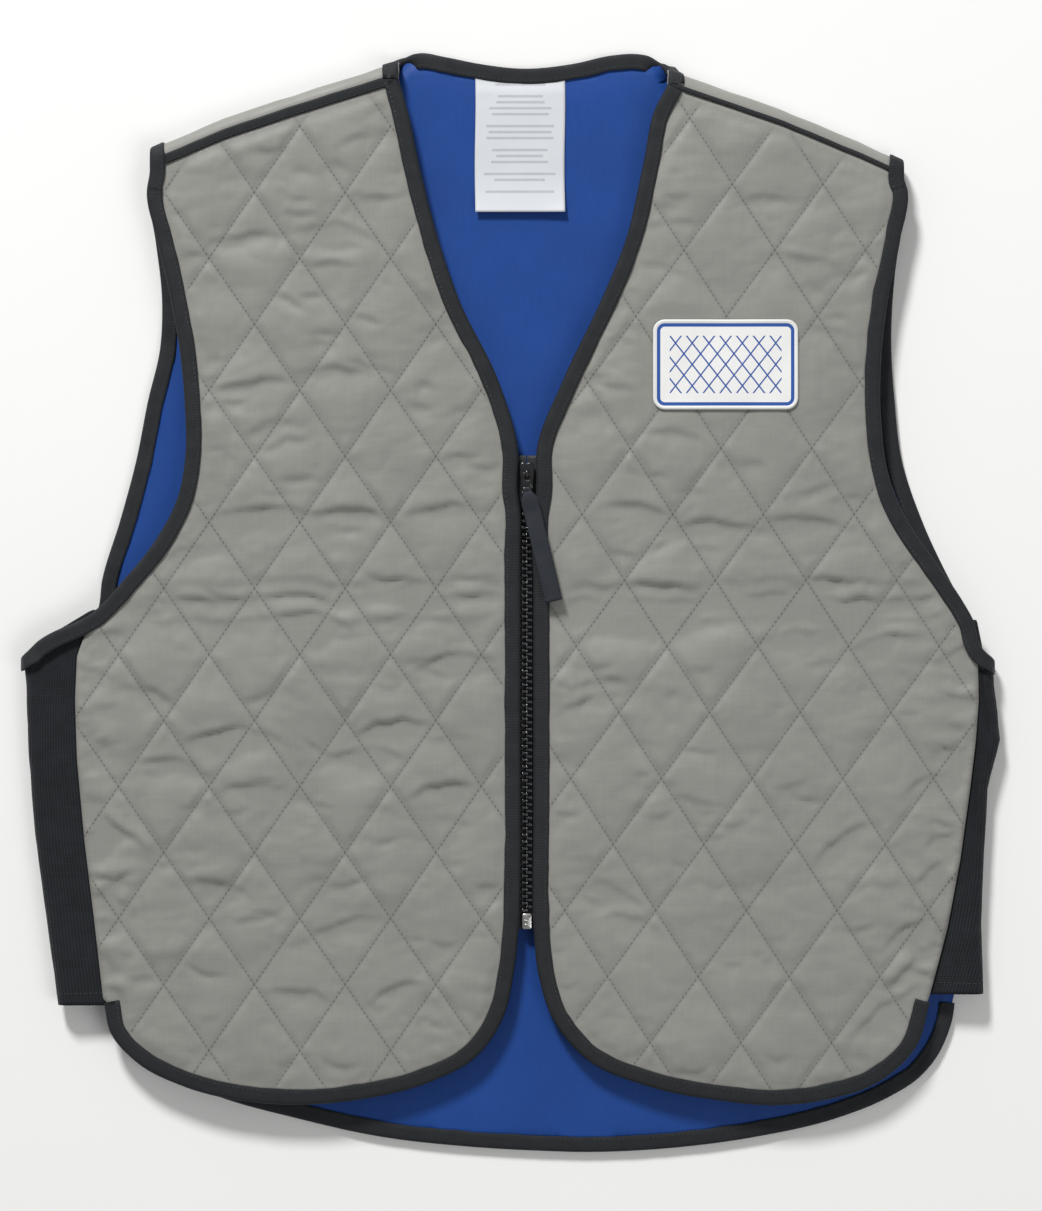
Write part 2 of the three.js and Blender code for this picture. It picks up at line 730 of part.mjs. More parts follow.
// Points round a side panel at one height, from the front seam round the fold to the back seam
const SIDE_COLUMNS = [
  { part: 'seam', dip: 0, layer: 1, tuck: 2 },
  { part: 'seam', dip: 0, layer: 1, tuck: 1 },
  { part: 'turn', dip: 0.75, angle: 90 },
  { part: 'turn', dip: 0.93, angle: 45 },
  { part: 'turn', dip: 1, angle: 0 },
  { part: 'turn', dip: 0.93, angle: -45 },
  { part: 'turn', dip: 0.75, angle: -90 },
  { part: 'seam', dip: 0, layer: -1, tuck: 1 },
  { part: 'seam', dip: 0, layer: -1, tuck: 2 },
];
function sideColumn(side, share) {
  const rows = SIDE_PANEL[side];
  const [topShare, bottomShare] = [rows[0].up, rows[rows.length - 1].up];
  return SIDE_COLUMNS.map((column) => {
    const top = topShare - column.dip * SIDE_DIP[side];
    const up = THREE.MathUtils.lerp(top, bottomShare, share);
    const key = column.layer < 0 ? 'back' : 'seam';
    const seam = SIGN[side] * (across(lookUp(rows, 'up', up, key)) - SIDE_TUCK * (column.tuck ?? 0));
    const fold = SIGN[side] * (across(lookUp(rows, 'up', up, 'fold')) - SIDE_WALL / 2);
    const radius = (frontMiddle(fold) - BACK_MIDDLE) / 2;
    const centre = { x: fold - SIGN[side] * radius, z: BACK_MIDDLE + radius };
    const y = along(up);
    if (column.part === 'seam') {
      const z = centre.z + column.layer * radius;
      return { point: new THREE.Vector3(seam, y, z), normal: new THREE.Vector3(0, 0, column.layer) };
    }
    const angle = THREE.MathUtils.degToRad(column.angle);
    const out = SIGN[side] * Math.cos(angle);
    const point = new THREE.Vector3(centre.x + radius * out, y, centre.z + radius * Math.sin(angle));
    const ruling = new THREE.Vector3(0, -1, 0);
    return { point, normal: new THREE.Vector3(out, 0, Math.sin(angle)), ruling };
  });
}

// Edges

function zipperEdge(side) {
  return ZIPPER_X + SIGN[side] * ZIPPER_GAP / 2;
}

// Where the neck binding and a front binding meet, in the middle of a shoulder tape
function neckMeeting(side) {
  const { down, width } = SHOULDER_TAPE[side];
  return down + width / 2;
}

function frontEdgeStations(side) {
  const points = FRONT_EDGE[side].map(({ out, up }) => {
    const x = zipperEdge(side) + SIGN[side] * across(out);
    return new THREE.Vector3(x, along(up), frontMiddle(x));
  });
  const x = rollEnds(side).neck;
  const y = shoulderAt(side, x).top - neckMeeting(side) - CLEARANCE;
  points.push(new THREE.Vector3(x, y, frontMiddle(x)));
  const normal = new THREE.Vector3(0, 0, -SIGN[side]);
  return stationsAlong(points.map((point) => ({ point, normal })), false);
}

// The whole armhole: front edge, top of the side panel, back edge and over the shoulder
function armholeLoop(side) {
  const sign = SIGN[side];
  const front = ARMHOLE_FRONT[side].map(({ out, up }) => {
    const x = sign * across(out);
    return { point: new THREE.Vector3(x, along(up), frontMiddle(x)), normal: new THREE.Vector3(0, 0, 1) };
  });
  const under = sideColumn(side, 0).slice(2, -2);
  const back = ARMHOLE_BACK[side].map(({ out, up }) => {
    const x = sign * across(out);
    return { point: new THREE.Vector3(x, along(up), BACK_MIDDLE), normal: new THREE.Vector3(0, 0, -1) };
  });
  const { down, width } = SHOULDER_TAPE[side];
  const over = rollColumn(side, rollEnds(side).arm, 0, down + width, -sign).slice(1);
  for (const place of [...front, ...under, ...back]) place.normal.multiplyScalar(-sign);
  const stations = stationsAlong([...front, ...under, ...back, ...over], true);
  const marks = {
    under: front.length,
    back: front.length + under.length,
    over: front.length + under.length + back.length,
  };
  return { stations, marks };
}

// The neck edge: over one shoulder, along the back neck and over the other shoulder.
// Between a fold and the back neck the cloth turns by small steps.
const TURN_STEPS = 4;
function neckStations() {
  const end = (side) => {
    const column = rollColumn(side, rollEnds(side).neck, 0, neckMeeting(side), SIGN[side]);
    return column.slice(3).reverse();
  };
  const back = NECK_EDGE.map(({ x, up }) => ({
    point: new THREE.Vector3(across(x), along(up), BACK_MIDDLE),
    normal: new THREE.Vector3(0, 0, -1),
  }));
  const turn = (fold, neck, way) => {
    const pull = fold.point.distanceTo(neck.point) / 2;
    const below = fold.point.clone().add(new THREE.Vector3(0, 0, -pull / 2));
    const beside = neck.point.clone().add(new THREE.Vector3(way * pull, 0, 0));
    const curve = new THREE.CubicBezierCurve3(fold.point, below, beside, neck.point);
    const steps = [];
    for (let k = 1; k <= TURN_STEPS; k++) {
      const share = k / (TURN_STEPS + 1);
      const ruling = fold.ruling.clone().lerp(new THREE.Vector3(0, -1, 0), share).normalize();
      steps.push({ point: curve.getPoint(share), normal: neck.normal, ruling });
    }
    return steps;
  };
  const [left, right] = [end('left'), end('right')];
  const leftTurn = turn(left[left.length - 1], back[0], -1);
  const rightTurn = turn(right[right.length - 1], back[back.length - 1], 1).reverse();
  const all = [...left, ...leftTurn, ...back, ...rightTurn, ...right.reverse()];
  const first = left.length + TURN_STEPS;
  return { stations: stationsAlong(all, false), first, last: first + back.length };
}

function hemStations() {
  const points = HEM_EDGE.map(({ x, up }) => new THREE.Vector3(across(x), along(up), BACK_MIDDLE));
  const normal = new THREE.Vector3(0, 0, 1);
  return stationsAlong(points.map((point) => ({ point, normal })), false);
}

// Outlines

// All the plan that lies inside the side seams, and below the shoulder tape on a front panel
function insideSideSeams(side, key, reach, gap) {
  const sign = SIGN[side];
  const seam = SIDE_PANEL[side].map((row) => ({ x: sign * (across(row[key]) + gap), y: along(row.up) }));
  return [
    { x: sign * FAR, y: reach },
    { x: sign * FAR, y: seam[0].y },
    ...seam,
    { x: seam[seam.length - 1].x, y: -HALF_LENGTH - FAR },
  ];
}

function belowShoulder(side) {
  const { down, width } = SHOULDER_TAPE[side];
  const drop = down + width + 2 * CLEARANCE;
  const sign = SIGN[side];
  const edge = (x) => ({ x, y: shoulderAt(side, x).top - drop });
  const folds = SHOULDER_FOLD[side].map(({ out }) => edge(sign * across(out)));
  const outline = insideSideSeams(side, 'seam', 0, 0);
  return [
    { x: -sign * FAR, y: -HALF_LENGTH - FAR },
    edge(-sign * FAR),
    ...folds,
    edge(sign * FAR),
    ...outline.slice(1),
  ];
}

function frontOutline(side, centre, loop) {
  const sign = SIGN[side];
  const inside = centre.map((station) => insetPoint(station, PANEL_INSET));
  const last = centre[centre.length - 1];
  const shoulder = loop.stations[loop.stations.length - 1];
  const armhole = [shoulder, ...loop.stations.slice(0, loop.marks.under + 1)];
  const edge = armhole.map((station) => insetPoint(station, PANEL_INSET));
  return [
    { x: sign * FAR, y: inside[0].y },
    ...inside,
    insetPoint(last, PANEL_INSET).addScaledVector(last.along, BINDING_WIDTH * 4),
    edge[0].clone().addScaledVector(armhole[0].along, -BINDING_WIDTH * 4),
    ...edge,
    edge[edge.length - 1].clone().addScaledVector(armhole[armhole.length - 1].along, BINDING_WIDTH * 8),
    { x: sign * FAR, y: edge[edge.length - 1].y - FAR / 3 },
  ];
}

function backOutline(neck, hem, loops, inset) {
  const top = (side) => {
    const { neck: neckX, arm } = rollEnds(side);
    const [near, far] = [neckX, arm - SIGN[side] * inset];
    return [0, 1 / 3, 2 / 3, 1].map((share) => {
      const x = THREE.MathUtils.lerp(near, far, share);
      const fold = shoulderAt(side, x);
      return { x, y: fold.centre - SEAT };
    });
  };
  const armhole = (side) => {
    const { stations, marks } = loops[side];
    const under = stations[marks.back - 1];
    const start = insetPoint(under, inset).addScaledVector(under.along, -BINDING_WIDTH * 8);
    const rest = stations.slice(marks.back - 1, marks.over).map((station) => insetPoint(station, inset));
    return [start, ...rest];
  };
  const bottom = hem.map((station) => insetPoint(station, inset));
  const backNeck = neck.stations.slice(neck.first, neck.last);
  const inner = backNeck.map((station) => insetPoint(station, inset));
  const [left, right] = [armhole('left'), armhole('right')];
  return [
    { x: -FAR, y: bottom[0].y },
    ...bottom,
    { x: FAR, y: bottom[bottom.length - 1].y },
    { x: FAR, y: right[0].y - FAR / 3 },
    ...right,
    ...top('right').reverse(),
    ...inner.reverse(),
    ...top('left'),
    ...left.reverse(),
    { x: -FAR, y: left[left.length - 1].y - FAR / 3 },
  ];
}

function seamPrism(side, key, gap) {
  const sign = SIGN[side];
  const outline = insideSideSeams(side, key, HALF_LENGTH + FAR, gap);
  const [low, high] = [-HALF_LENGTH - FAR, HALF_LENGTH + FAR];
  return prism([...outline, { x: -sign * FAR, y: low }, { x: -sign * FAR, y: high }], BELOW, ABOVE);
}

// Pieces

const vest = new THREE.Group();
const puller = new THREE.Group();

function piece(name, geometry, look, group = vest) {
  const mesh = new THREE.Mesh(geometry, new THREE.MeshStandardMaterial(look));
  mesh.name = name;
  group.add(mesh);
  return mesh;
}

const centreEdges = { left: frontEdgeStations('left'), right: frontEdgeStations('right') };
const armholes = { left: armholeLoop('left'), right: armholeLoop('right') };
const neckEdge = neckStations();
// The neck's sewn edges: over one shoulder, along the back and over the other.
// The tight turns between have none.
const neckCloths = [
  neckEdge.stations.slice(1, neckEdge.first - TURN_STEPS),
  neckEdge.stations.slice(neckEdge.first, neckEdge.last),
  neckEdge.stations.slice(neckEdge.last + TURN_STEPS, -1),
];
const hemEdge = hemStations();
const crossings = { left: LEFT_CROSSING, right: RIGHT_CROSSING };

function frontPanel(side) {
  const sign = SIGN[side];
  const [x0, x1] = sign < 0 ? [-HALF_WIDTH, ZIPPER_X] : [ZIPPER_X, HALF_WIDTH];
  const bounds = { x0, x1, y0: -HALF_LENGTH, y1: HALF_LENGTH };
  const loop = armholes[side];
  const outline = frontOutline(side, centreEdges[side], loop);
  const quilt = quiltBlock(crossings[side], bounds, frontTop, frontBottom);
  const shoulderStation = loop.stations[loop.stations.length - 1];
  const armEdge = [shoulderStation, ...loop.stations.slice(0, loop.marks.under + 1)];
  const centreFlange = solid(sweep(centreEdges[side], flangeSection(), false));
  const armFlange = solid(sweep(armEdge, flangeSection(), false));
  return quilt
    .intersect(prism(outline, BELOW, ABOVE))
    .add(centreFlange)
    .add(armFlange)
    .intersect(prism(belowShoulder(side), BELOW, ABOVE));
}

function shoulderRoll(side) {
  const { down } = SHOULDER_TAPE[side];
  const places = shoulderPlaces(side, PANEL_INSET);
  const columns = places.map((x) => rollColumn(side, x, FLANGE_REACH, down));
  const points = columns.map((column) => column.map(({ point }) => point));
  const normals = columns.map((column) => column.map(({ normal }) => normal));
  return solid(thickSheet(points, PANEL_WALL, normals));
}

function backPanel() {
  const bounds = { x0: -HALF_WIDTH, x1: HALF_WIDTH, y0: -HALF_LENGTH, y1: HALF_LENGTH };
  const outline = backOutline(neckEdge, hemEdge, armholes, PANEL_INSET);
  let body = quiltBlock(BACK_CROSSING, bounds, backTop, backBottom)
    .intersect(prism(outline, BELOW, ABOVE))
    .add(shoulderRoll('left'))
    .add(shoulderRoll('right'))
    .add(sweepBlocks(hemEdge, [flangeSection()]));
  for (const cloth of neckCloths) body = body.add(sweepBlocks(cloth, [flangeSection()]));
  for (const side of ['left', 'right']) {
    const { stations, marks } = armholes[side];
    const edge = stations.slice(marks.back - 1, -1);
    body = body.add(sweepBlocks(edge, [flangeSection()]));
  }
  return largest(body
    .subtract(sweepBlocks(neckEdge.stations, bindingStrips(CLEARANCE / 2)))
    .intersect(seamPrism('left', 'back', 0))
    .intersect(seamPrism('right', 'back', 0)));
}

function backLining() {
  const outline = backOutline(neckEdge, hemEdge, armholes, PANEL_INSET + CLEARANCE);
  const bindingRoom = roomSection(-BINDING_WALL, PANEL_INSET - CLEARANCE / 2, BINDING_THICKNESS);
  const flangeRoom = roomSection(0, FLANGE_REACH + CLEARANCE, FLANGE_WALL);
  return prism(outline, LINING_BOTTOM, LINING_TOP)
    .subtract(solid(sweep(neckEdge.stations, bindingRoom, false)))
    .subtract(solid(sweep(neckCloths[1], flangeRoom, false)))
    .intersect(seamPrism('left', 'back', 0))
    .intersect(seamPrism('right', 'back', 0));
}

// A side panel hangs from the armhole binding, folded round the side of the vest.
function sidePanel(side) {
  const { stations, marks } = armholes[side];
  const edge = stations.slice(marks.under - 2, marks.back + 2);
  const rows = [SEAT, PANEL_INSET].map((inset) => edge.map((station) => insetPoint(station, inset)));
  for (const share of [0.15, 0.3, 0.45, 0.6, 0.75, 0.88, 1]) {
    rows.push(sideColumn(side, share).map(({ point }) => point));
  }
  return solid(thickSheet(rows, SIDE_WALL))
    .subtract(seamPrism(side, 'seam', CLEARANCE).intersect(prism(PLAN, FRONT_HEIGHT, ABOVE)))
    .subtract(seamPrism(side, 'back', CLEARANCE).intersect(prism(PLAN, BELOW, LINING_TOP)));
}

function shoulderTape(side) {
  const { down, width } = SHOULDER_TAPE[side];
  const rows = shoulderPlaces(side, SEAT).map((x) => {
    const top = shoulderAt(side, x).top - down - CLEARANCE;
    return [0, width].map((drop) => new THREE.Vector3(x, top - drop, frontMiddle(x)));
  });
  return thickSheet(rows, PANEL_WALL);
}

piece('back_panel', shapeOf(backPanel()), GREY);
piece('back_lining', shapeOf(backLining()), BLUE);
for (const side of ['left', 'right']) {
  piece(`front_panel_${side}`, shapeOf(frontPanel(side)), GREY);
  piece(`side_panel_${side}`, shapeOf(sidePanel(side)), BLACK);
  piece(`shoulder_tape_${side}`, shoulderTape(side), BLACK);
  piece(`front_binding_${side}`, sweep(centreEdges[side], bindingSection(0), false), BLACK);
  piece(`armhole_binding_${side}`, sweep(armholes[side].stations, bindingSection(0), true), BLACK);
}
piece('neck_binding', sweep(neckEdge.stations, bindingSection(0), false), BLACK);
piece('hem_binding', sweep(hemEdge, bindingSection(0), false), BLACK);

// Zipper levels
const ZIPPER_BOTTOM = ZIPPER_TOP - ZIPPER_LENGTH;
const TAPE_TOP = frontMiddle(zipperEdge('left')) - BINDING_THICKNESS / 2 - CLEARANCE;
const TAPE_BOTTOM = TAPE_TOP - ZIPPER_TAPE_WALL;
const CHAIN_TOP = TAPE_BOTTOM + CHAIN_THICKNESS;
const SLIDER_TOP_END = ZIPPER_TOP - SLIDER_SET_DOWN;
const SLIDER_LOW_END = SLIDER_TOP_END - SLIDER_LENGTH;
const CHAIN_TOP_END = SLIDER_LOW_END + SLIDER_ENTRY;
const CHAIN_LOW_END = ZIPPER_BOTTOM + BOX_LENGTH + CLEARANCE;

function zipperTape(side) {
  const sign = SIGN[side];
  const near = ZIPPER_X + sign * (CHAIN_WIDTH / 2 + CLEARANCE);
  const far = ZIPPER_X + sign * ZIPPER_TAPE_REACH;
  const [x0, x1] = [Math.min(near, far), Math.max(near, far)];
  return block(x0, x1, ZIPPER_BOTTOM, ZIPPER_TOP, TAPE_BOTTOM, TAPE_TOP);
}

// One row of teeth on its cord, as a comb
function zipperTeeth(side) {
  const sign = SIGN[side];
  const x = (out) => ZIPPER_X + sign * out;
  const outline = [new THREE.Vector2(x(CHAIN_WIDTH / 2), CHAIN_LOW_END)];
  const start = CHAIN_LOW_END + (side === 'left' ? 0 : TOOTH_PITCH / 2);
  const count = Math.floor((CHAIN_TOP_END - start - TOOTH_LENGTH) / TOOTH_PITCH);
  for (let k = 0; k <= count; k++) {
    const low = start + k * TOOTH_PITCH;
    if (low > CHAIN_LOW_END) outline.push(new THREE.Vector2(x(TOOTH_ROOT), low));
    outline.push(new THREE.Vector2(x(-TOOTH_OVERLAP), low));
    outline.push(new THREE.Vector2(x(-TOOTH_OVERLAP), low + TOOTH_LENGTH));
    outline.push(new THREE.Vector2(x(TOOTH_ROOT), low + TOOTH_LENGTH));
  }
  if (side === 'right') outline.splice(1, 0, new THREE.Vector2(x(TOOTH_ROOT), CHAIN_LOW_END));
  outline.push(new THREE.Vector2(x(TOOTH_ROOT), CHAIN_TOP_END));
  outline.push(new THREE.Vector2(x(CHAIN_WIDTH / 2), CHAIN_TOP_END));
  const comb = new THREE.Shape(outline);
  const geometry = new THREE.ExtrudeGeometry(comb, { depth: CHAIN_THICKNESS, bevelEnabled: false });
  geometry.translate(0, 0, TAPE_BOTTOM);
  return shapeOf(solid(geometry));
}

for (const side of ['left', 'right']) {
  piece(`zipper_tape_${side}`, zipperTape(side), BLACK);
  piece(`zipper_teeth_${side}`, zipperTeeth(side), TEETH);
}
const boxHalf = CHAIN_WIDTH / 2;
piece('zipper_box', block(ZIPPER_X - boxHalf, ZIPPER_X + boxHalf, ZIPPER_BOTTOM, ZIPPER_BOTTOM + BOX_LENGTH,
  TAPE_BOTTOM, CHAIN_TOP + CLEARANCE), STEEL);

// Slider levels
const LOWER_PLATE_TOP = TAPE_BOTTOM - CLEARANCE;
const UPPER_PLATE_BOTTOM = CHAIN_TOP + CLEARANCE;
const UPPER_PLATE_TOP = UPPER_PLATE_BOTTOM + SLIDER_PLATE;
const HINGE_Y = (SLIDER_TOP_END + SLIDER_LOW_END) / 2 + 1;
const HINGE_Z = UPPER_PLATE_TOP + CROWN_RISE;

function zipperSlider() {
  const half = SLIDER_WIDTH / 2;
  const [x0, x1] = [ZIPPER_X - half, ZIPPER_X + half];
  const [y0, y1] = [SLIDER_LOW_END, SLIDER_TOP_END];
  const lower = block(x0, x1, y0, y1, LOWER_PLATE_TOP - SLIDER_PLATE, LOWER_PLATE_TOP);
  const upper = block(x0, x1, y0, y1, UPPER_PLATE_BOTTOM, UPPER_PLATE_TOP);
  const postEnd = y1 - SLIDER_PLATE;
  const post = block(ZIPPER_X - TOOTH_ROOT, ZIPPER_X + TOOTH_ROOT, CHAIN_TOP_END + CLEARANCE, postEnd,
    LOWER_PLATE_TOP - SLIDER_PLATE / 2, UPPER_PLATE_TOP - SLIDER_PLATE / 2);
  const ring = new THREE.CylinderGeometry(CROWN_RADIUS, CROWN_RADIUS, CROWN_WIDTH, 14);
  ring.rotateZ(Math.PI / 2).translate(ZIPPER_X, HINGE_Y, HINGE_Z);
  const boreRadius = ROD_RADIUS + ROD_CLEARANCE;
  const bore = new THREE.CylinderGeometry(boreRadius, boreRadius, CROWN_WIDTH * 2, 12);
  bore.rotateZ(Math.PI / 2).translate(ZIPPER_X, HINGE_Y, HINGE_Z);
  const stemHalf = CROWN_RADIUS * STEM_SHARE;
  const stem = block(ZIPPER_X - CROWN_WIDTH / 2, ZIPPER_X + CROWN_WIDTH / 2, HINGE_Y - stemHalf,
    HINGE_Y + stemHalf, UPPER_PLATE_TOP - SLIDER_PLATE / 2, HINGE_Z - ROD_RADIUS);
  const body = solid(lower).add(solid(post)).add(solid(upper)).add(solid(stem)).add(solid(ring));
  return body.subtract(solid(bore));
}

// The puller hangs on the slider's crown by a rod. It is drawn at its hinge and pointing to the hem.
function zipperPuller() {
  const half = PULLER_WIDTH / 2;
  const inner = CROWN_WIDTH / 2 + CLEARANCE;
  const opening = CROWN_RADIUS + CLEARANCE;
  const wall = PULLER_WALL / 2;
  const rod = new THREE.CylinderGeometry(ROD_RADIUS, ROD_RADIUS, PULLER_WIDTH, 12);
  rod.rotateZ(Math.PI / 2);
  const plate = block(-half, half, -PULLER_LENGTH, -opening, -wall, wall);
  const arms = [-1, 1].map((way) => {
    const [x0, x1] = [Math.min(way * inner, way * half), Math.max(way * inner, way * half)];
    return block(x0, x1, -opening - wall, 0, -wall, wall);
  });
  return solid(rod).add(solid(plate)).add(solid(arms[0])).add(solid(arms[1]));
}

// The tab is a folded strip that holds the end of the puller, drawn from that end down.
function pullTab() {
  const grip = PULLER_WALL / 2 + CLEARANCE + TAB_WALL;
  const side = new THREE.Shape([
    new THREE.Vector2(0, -grip),
    new THREE.Vector2(TAB_LENGTH, -grip),
    new THREE.Vector2(TAB_LENGTH, -grip + TAB_THICKNESS),
    new THREE.Vector2(TAB_GRIP * 2.5, -grip + TAB_THICKNESS),
    new THREE.Vector2(TAB_GRIP, grip),
    new THREE.Vector2(0, grip),
  ]);
  const strip = new THREE.ExtrudeGeometry(side, { depth: TAB_WIDTH, bevelEnabled: false });
  strip.translate(0, 0, -TAB_WIDTH / 2);
  strip.applyMatrix4(new THREE.Matrix4().makeBasis(
    new THREE.Vector3(0, -1, 0), new THREE.Vector3(0, 0, 1), new THREE.Vector3(-1, 0, 0)));
  strip.rotateX(THREE.MathUtils.degToRad(-TAB_LIFT));
  strip.rotateZ(THREE.MathUtils.degToRad(TAB_LEAN));
  strip.translate(0, -PULLER_LENGTH + TAB_GRIP, 0);
  const half = PULLER_WIDTH / 2 + CLEARANCE;
  const wall = PULLER_WALL / 2 + CLEARANCE;
  const pocket = block(-half, half, -PULLER_LENGTH - CLEARANCE, 0, -wall, wall);
  return solid(strip).subtract(solid(pocket));
}

piece('zipper_slider', shapeOf(zipperSlider()), STEEL);
puller.position.set(ZIPPER_X, HINGE_Y, HINGE_Z);
piece('zipper_puller', shapeOf(zipperPuller()), STEEL, puller);
piece('pull_tab', shapeOf(pullTab()), BLACK, puller);
vest.add(puller);

function neckLabel() {
  const top = along(lookUp(NECK_EDGE, 'x', LABEL.x / HALF_WIDTH, 'up')) - PANEL_INSET - CLEARANCE;
  const rest = LINING_TOP + CLEARANCE + LABEL.wall / 2;
  const flat = LABEL_ROWS[0];
  const rows = [0, ...LABEL_ROWS].map((share) => {
    const lift = LABEL.curl * Math.max(0, (share - flat) / (1 - flat)) ** 2;
    return [-0.5, 0, 0.5].map((side) => new THREE.Vector3(LABEL.x + side * LABEL.width,
      top - share * LABEL.length, rest + lift));
  });
  return thickSheet(rows, LABEL.wall);
}

function chestPatch() {
  const [w, h, r] = [PATCH.width / 2, PATCH.height / 2, PATCH.corner];
  const outline = new THREE.Shape();
  outline.moveTo(PATCH.x - w + r, PATCH.y - h);
  for (const [sx, sy, turn] of [[1, -1, -90], [1, 1, 0], [-1, 1, 90], [-1, -1, 180]]) {
    const start = THREE.MathUtils.degToRad(turn);
    outline.absarc(PATCH.x + sx * (w - r), PATCH.y + sy * (h - r), r, start, start + Math.PI / 2);
  }
  const bounds = { x0: PATCH.x - w, x1: PATCH.x + w, y0: PATCH.y - h, y1: PATCH.y + h };
  const top = raised(frontTop, CLEARANCE + PATCH.wall);
  const cloth = quiltBlock(RIGHT_CROSSING, bounds, top, raised(frontTop, CLEARANCE));
  return cloth.intersect(prism(outline.getPoints(3), BELOW, ABOVE));
}

piece('neck_label', neckLabel(), WHITE);
piece('chest_patch', shapeOf(chestPatch()), WHITE);

// The origin is the middle of the vest's outline, on the surface it lies on.
const bounds = new THREE.Box3().setFromObject(vest);
const middle = bounds.getCenter(new THREE.Vector3());
vest.position.set(-middle.x, -middle.y, -bounds.min.z);

export default vest;
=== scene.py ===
# A sleeveless quilted cooling vest, laid flat on its back with the front up.
# Sizes are in millimetres in the vest's own plan until make() turns them into metres in the frame.
import math

import bpy
import numpy as np
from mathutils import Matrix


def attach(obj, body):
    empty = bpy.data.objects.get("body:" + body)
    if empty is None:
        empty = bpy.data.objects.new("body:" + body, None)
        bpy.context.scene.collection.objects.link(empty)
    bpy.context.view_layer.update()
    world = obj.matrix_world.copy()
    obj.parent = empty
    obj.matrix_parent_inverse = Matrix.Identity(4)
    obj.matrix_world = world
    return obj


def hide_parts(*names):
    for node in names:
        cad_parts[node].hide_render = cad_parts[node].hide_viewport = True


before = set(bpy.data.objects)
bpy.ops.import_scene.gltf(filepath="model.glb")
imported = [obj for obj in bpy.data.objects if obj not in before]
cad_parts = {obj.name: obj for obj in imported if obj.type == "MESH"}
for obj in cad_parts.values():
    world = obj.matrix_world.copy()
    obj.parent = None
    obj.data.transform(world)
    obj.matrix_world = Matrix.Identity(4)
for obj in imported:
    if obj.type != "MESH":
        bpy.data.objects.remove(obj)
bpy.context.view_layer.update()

# Sizes that the solids share
HALF_LENGTH = 332.0
HALF_WIDTH = 294.0
OFFSET = np.array([1.525, 0.6635, 0.0])
PANEL_WALL = 1.8
BINDING_WIDTH = 9.5
BACK_MIDDLE = 2.25
SIDE_WALL = 1.6
QUILT_HALF_WIDTH = 27.2
QUILT_HALF_HEIGHT = 39.6
FRONT_HEIGHT = 12.0
FRONT_RISE = 2.2
CREST_SHARE = 0.55
ZIPPER_X = 9.0
ZIPPER_GAP = 7.8
ZIPPER_TOP = 88.0
ZIPPER_LENGTH = 285.0
ZIPPER_BOTTOM = ZIPPER_TOP - ZIPPER_LENGTH
TAPE_BOTTOM = 9.4
STATION_STEP = 2.4
TAPE_OVERLAP = 0.35
SIGN = {"left": -1.0, "right": 1.0}
# A crossing of two stitch lines, and how far the lattice leans
CROSSING = {"left": (-127.2, 126.9, 0.0), "right": (144.0, -105.9, 0.043), "back": (0.0, 0.0, 0.0)}

# Edges of the fronts: how far out from the zipper edge, and how far up
FRONT_EDGE = {
    "left": [(0.850, -0.725), (0.837, -0.778), (0.784, -0.832), (0.684, -0.877), (0.527, -0.906),
             (0.323, -0.899), (0.184, -0.868), (0.090, -0.823), (0.035, -0.752), (0.013, -0.669),
             (0.003, -0.584), (0.000, -0.500), (0.000, -0.300), (0.000, -0.100), (0.000, 0.080),
             (0.000, 0.170), (0.005, 0.198), (0.005, 0.272), (0.044, 0.397), (0.125, 0.545),
             (0.170, 0.662), (0.205, 0.783), (0.231, 0.890)],
    "right": [(0.809, -0.725), (0.780, -0.805), (0.711, -0.864), (0.591, -0.901), (0.493, -0.910),
              (0.385, -0.902), (0.238, -0.877), (0.109, -0.828), (0.040, -0.756), (0.010, -0.675),
              (0.000, -0.584), (0.000, -0.400), (0.000, -0.200), (0.000, 0.020), (0.000, 0.170),
              (0.005, 0.198), (0.006, 0.272), (0.060, 0.400), (0.138, 0.545), (0.187, 0.651),
              (0.225, 0.796), (0.248, 0.890)],
}
# Armholes: how far out from the middle, and how far up
ARMHOLE_FRONT = {
    "left": [(0.745, 0.742), (0.724, 0.653), (0.696, 0.545), (0.676, 0.440), (0.667, 0.346),
             (0.666, 0.265), (0.684, 0.183), (0.727, 0.111), (0.792, 0.039), (0.849, -0.015)],
    "right": [(0.806, 0.748), (0.792, 0.653), (0.767, 0.545), (0.753, 0.436), (0.753, 0.328),
              (0.771, 0.220), (0.806, 0.147), (0.861, 0.075), (0.918, 0.003), (0.941, -0.033)],
}
ARMHOLE_BACK = {
    "left": [(0.851, -0.017), (0.841, 0.039), (0.804, 0.147), (0.771, 0.256), (0.747, 0.364),
             (0.722, 0.460), (0.718, 0.545), (0.731, 0.653), (0.745, 0.735)],
    "right": [(0.943, -0.035), (0.898, 0.039), (0.841, 0.147), (0.800, 0.256), (0.785, 0.364),
              (0.778, 0.472), (0.784, 0.581), (0.800, 0.689), (0.806, 0.740)],
}
# Fold over the shoulders: how far out, and how far up
SHOULDER_FOLD = {
    "left": [(0.231, 0.977), (0.433, 0.921), (0.588, 0.875), (0.739, 0.818)],
    "right": [(0.318, 0.962), (0.553, 0.890), (0.710, 0.832), (0.800, 0.796)],
}
